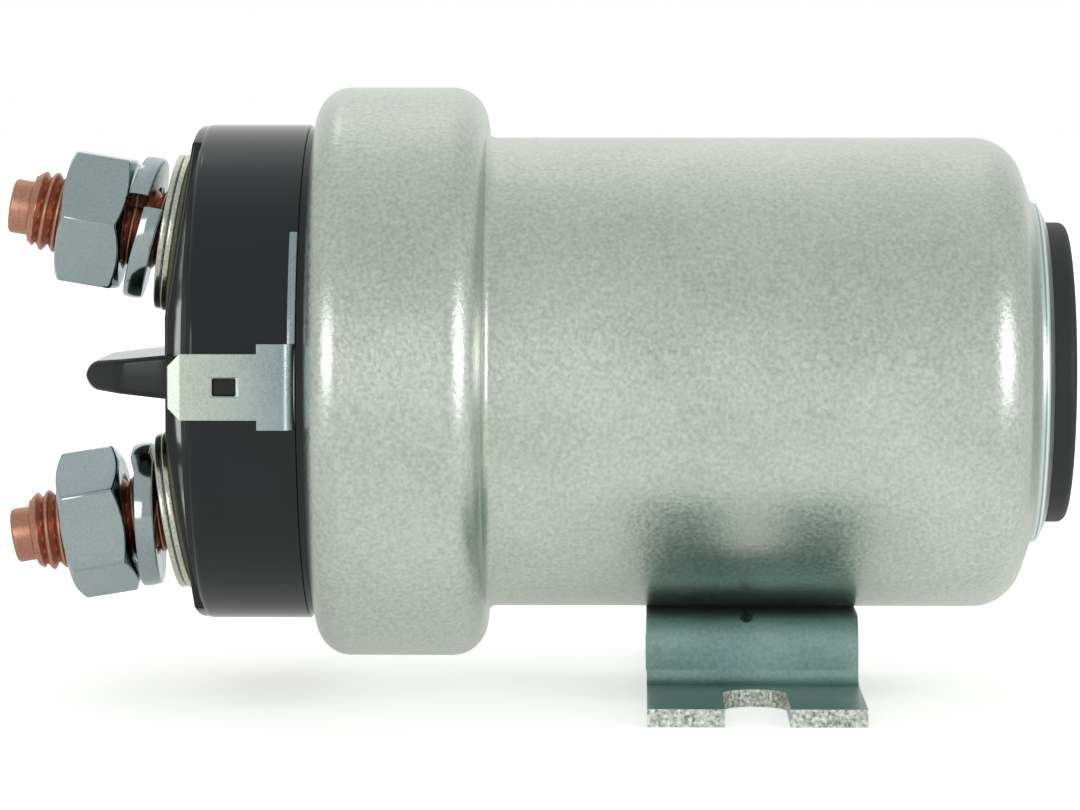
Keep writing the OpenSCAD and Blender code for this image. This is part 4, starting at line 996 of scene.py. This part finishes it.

# %% [markdown]
# The table is pale and matt, and it keeps the shadow of the relay. What the camera sees of it is lifted
# towards white, more so far from the relay, where the picture is plain white, so the lesser lift near the
# relay is a painted pool of shade round it. What metal mirrors of it is lifted less: the picture's metal
# shows the table darker than the background, and darker away from the relay than close to it. So the
# larger lift near the relay is a painted pool of light in what the metal mirrors.

# %% The table
TABLE, TABLE_BELOW = 6.0, 0.02  # half its width in metres, and how far under the feet it lies
NEAR, MIRROR_FAR, CAMERA_FAR = 40, 90, 240  # distances from the relay over which the lift changes
MIRROR_LIFT_AND_LIGHT_POOL, CAMERA_LIFT_AND_SHADE_POOL = (0.32, 0.15), (0.5, 0.74)  # near and far
table_mesh = bpy.data.meshes.new("table")
table_mesh.from_pydata([(x * TABLE, y * TABLE, 0) for x, y in ((-1, -1), (1, -1), (1, 1), (-1, 1))], [],
                       [(0, 1, 2, 3)])
table = bpy.data.objects.new("table", table_mesh)
table.location.z = -TABLE_BELOW * MM
bpy.context.scene.collection.objects.link(table)
table_paint = bpy.data.materials.new("table_paint")
table_paint.use_nodes = True
tree = table_paint.node_tree
paint = tree.nodes["Principled BSDF"]
paint.inputs["Base Color"].default_value = colour("#e9e9e6")
paint.inputs["Roughness"].default_value = 0.9
paint.inputs["Emission Color"].default_value = (1, 1, 1, 1)
table_mesh.materials.append(table_paint)
print("the table is", 2 * TABLE, "m wide")

# %% How white the camera and the metal see the table
rays = add(tree, "ShaderNodeLightPath")
mirrored = add(tree, "ShaderNodeMath",
               {0: rays.outputs["Is Glossy Ray"], 1: rays.outputs["Is Transmission Ray"]}, operation="MAXIMUM")
place = add(tree, "ShaderNodeTexCoord").outputs["Object"]
distance = add(tree, "ShaderNodeVectorMath", {0: place}, operation="LENGTH").outputs["Value"]
# Both lifts change with the distance from the relay: for the camera, the lesser lift near it is a painted pool of
# shade, and for metal, the larger lift near it is a painted pool of light.
lifts = [add(tree, "ShaderNodeMapRange", {"Value": distance, "From Min": NEAR * MM, "From Max": far * MM,
                                          "To Min": lift[0], "To Max": lift[1]},
             interpolation_type="SMOOTHSTEP").outputs["Result"]
         for far, lift in ((MIRROR_FAR, MIRROR_LIFT_AND_LIGHT_POOL), (CAMERA_FAR, CAMERA_LIFT_AND_SHADE_POOL))]
mirror_lift_and_light_pool = add(tree, "ShaderNodeMath", {0: mirrored.outputs["Value"], 1: lifts[0]}, operation="MULTIPLY")
lift = add(tree, "ShaderNodeMath",
           {0: rays.outputs["Is Camera Ray"], 1: lifts[1], 2: mirror_lift_and_light_pool.outputs["Value"]},
           operation="MULTIPLY_ADD")
tree.links.new(lift.outputs["Value"], paint.inputs["Emission Strength"])
print("lift near and far:", CAMERA_LIFT_AND_SHADE_POOL, "for the camera and", MIRROR_LIFT_AND_LIGHT_POOL, "for metal")

# %% [markdown]
# Three soft boxes stand round the relay. A large one on the left and a narrow one on the right, both at
# about its own height, draw the tall soft lights on its rounded ends. A small one from above and behind lights
# the upper edges. They are area lamps, because a box's size sets how soft its light and its shadow are.

# %% Soft boxes
def soft_box(name, azimuth, elevation, away, size, watts):
    """A lamp that looks at the relay, in metres. Azimuth 0 is the camera's side, and 90 is its right."""
    data = bpy.data.lights.new(name, "AREA")
    data.shape, data.size, data.size_y, data.energy = "RECTANGLE", size[0], size[1], watts
    made = bpy.data.objects.new(name, data)
    aim = Vector((0, 0, AXIS_Z * MM))
    a, e = radians(azimuth), radians(elevation)
    made.location = aim + away * Vector((sin(a) * cos(e), -cos(a) * cos(e), sin(e)))
    made.rotation_euler = (made.location - aim).to_track_quat("Z", "Y").to_euler()
    bpy.context.scene.collection.objects.link(made)
    return made


soft_box("box_left", azimuth=-33, elevation=2, away=0.9, size=(0.5, 0.6), watts=2.1)
soft_box("box_right", azimuth=48, elevation=4, away=0.9, size=(0.24, 0.5), watts=2.5)
soft_box("box_top", azimuth=208, elevation=57, away=1.0, size=(0.16, 0.16), watts=0.12)
print("boxes lit:", [lamp.name for lamp in bpy.data.lights])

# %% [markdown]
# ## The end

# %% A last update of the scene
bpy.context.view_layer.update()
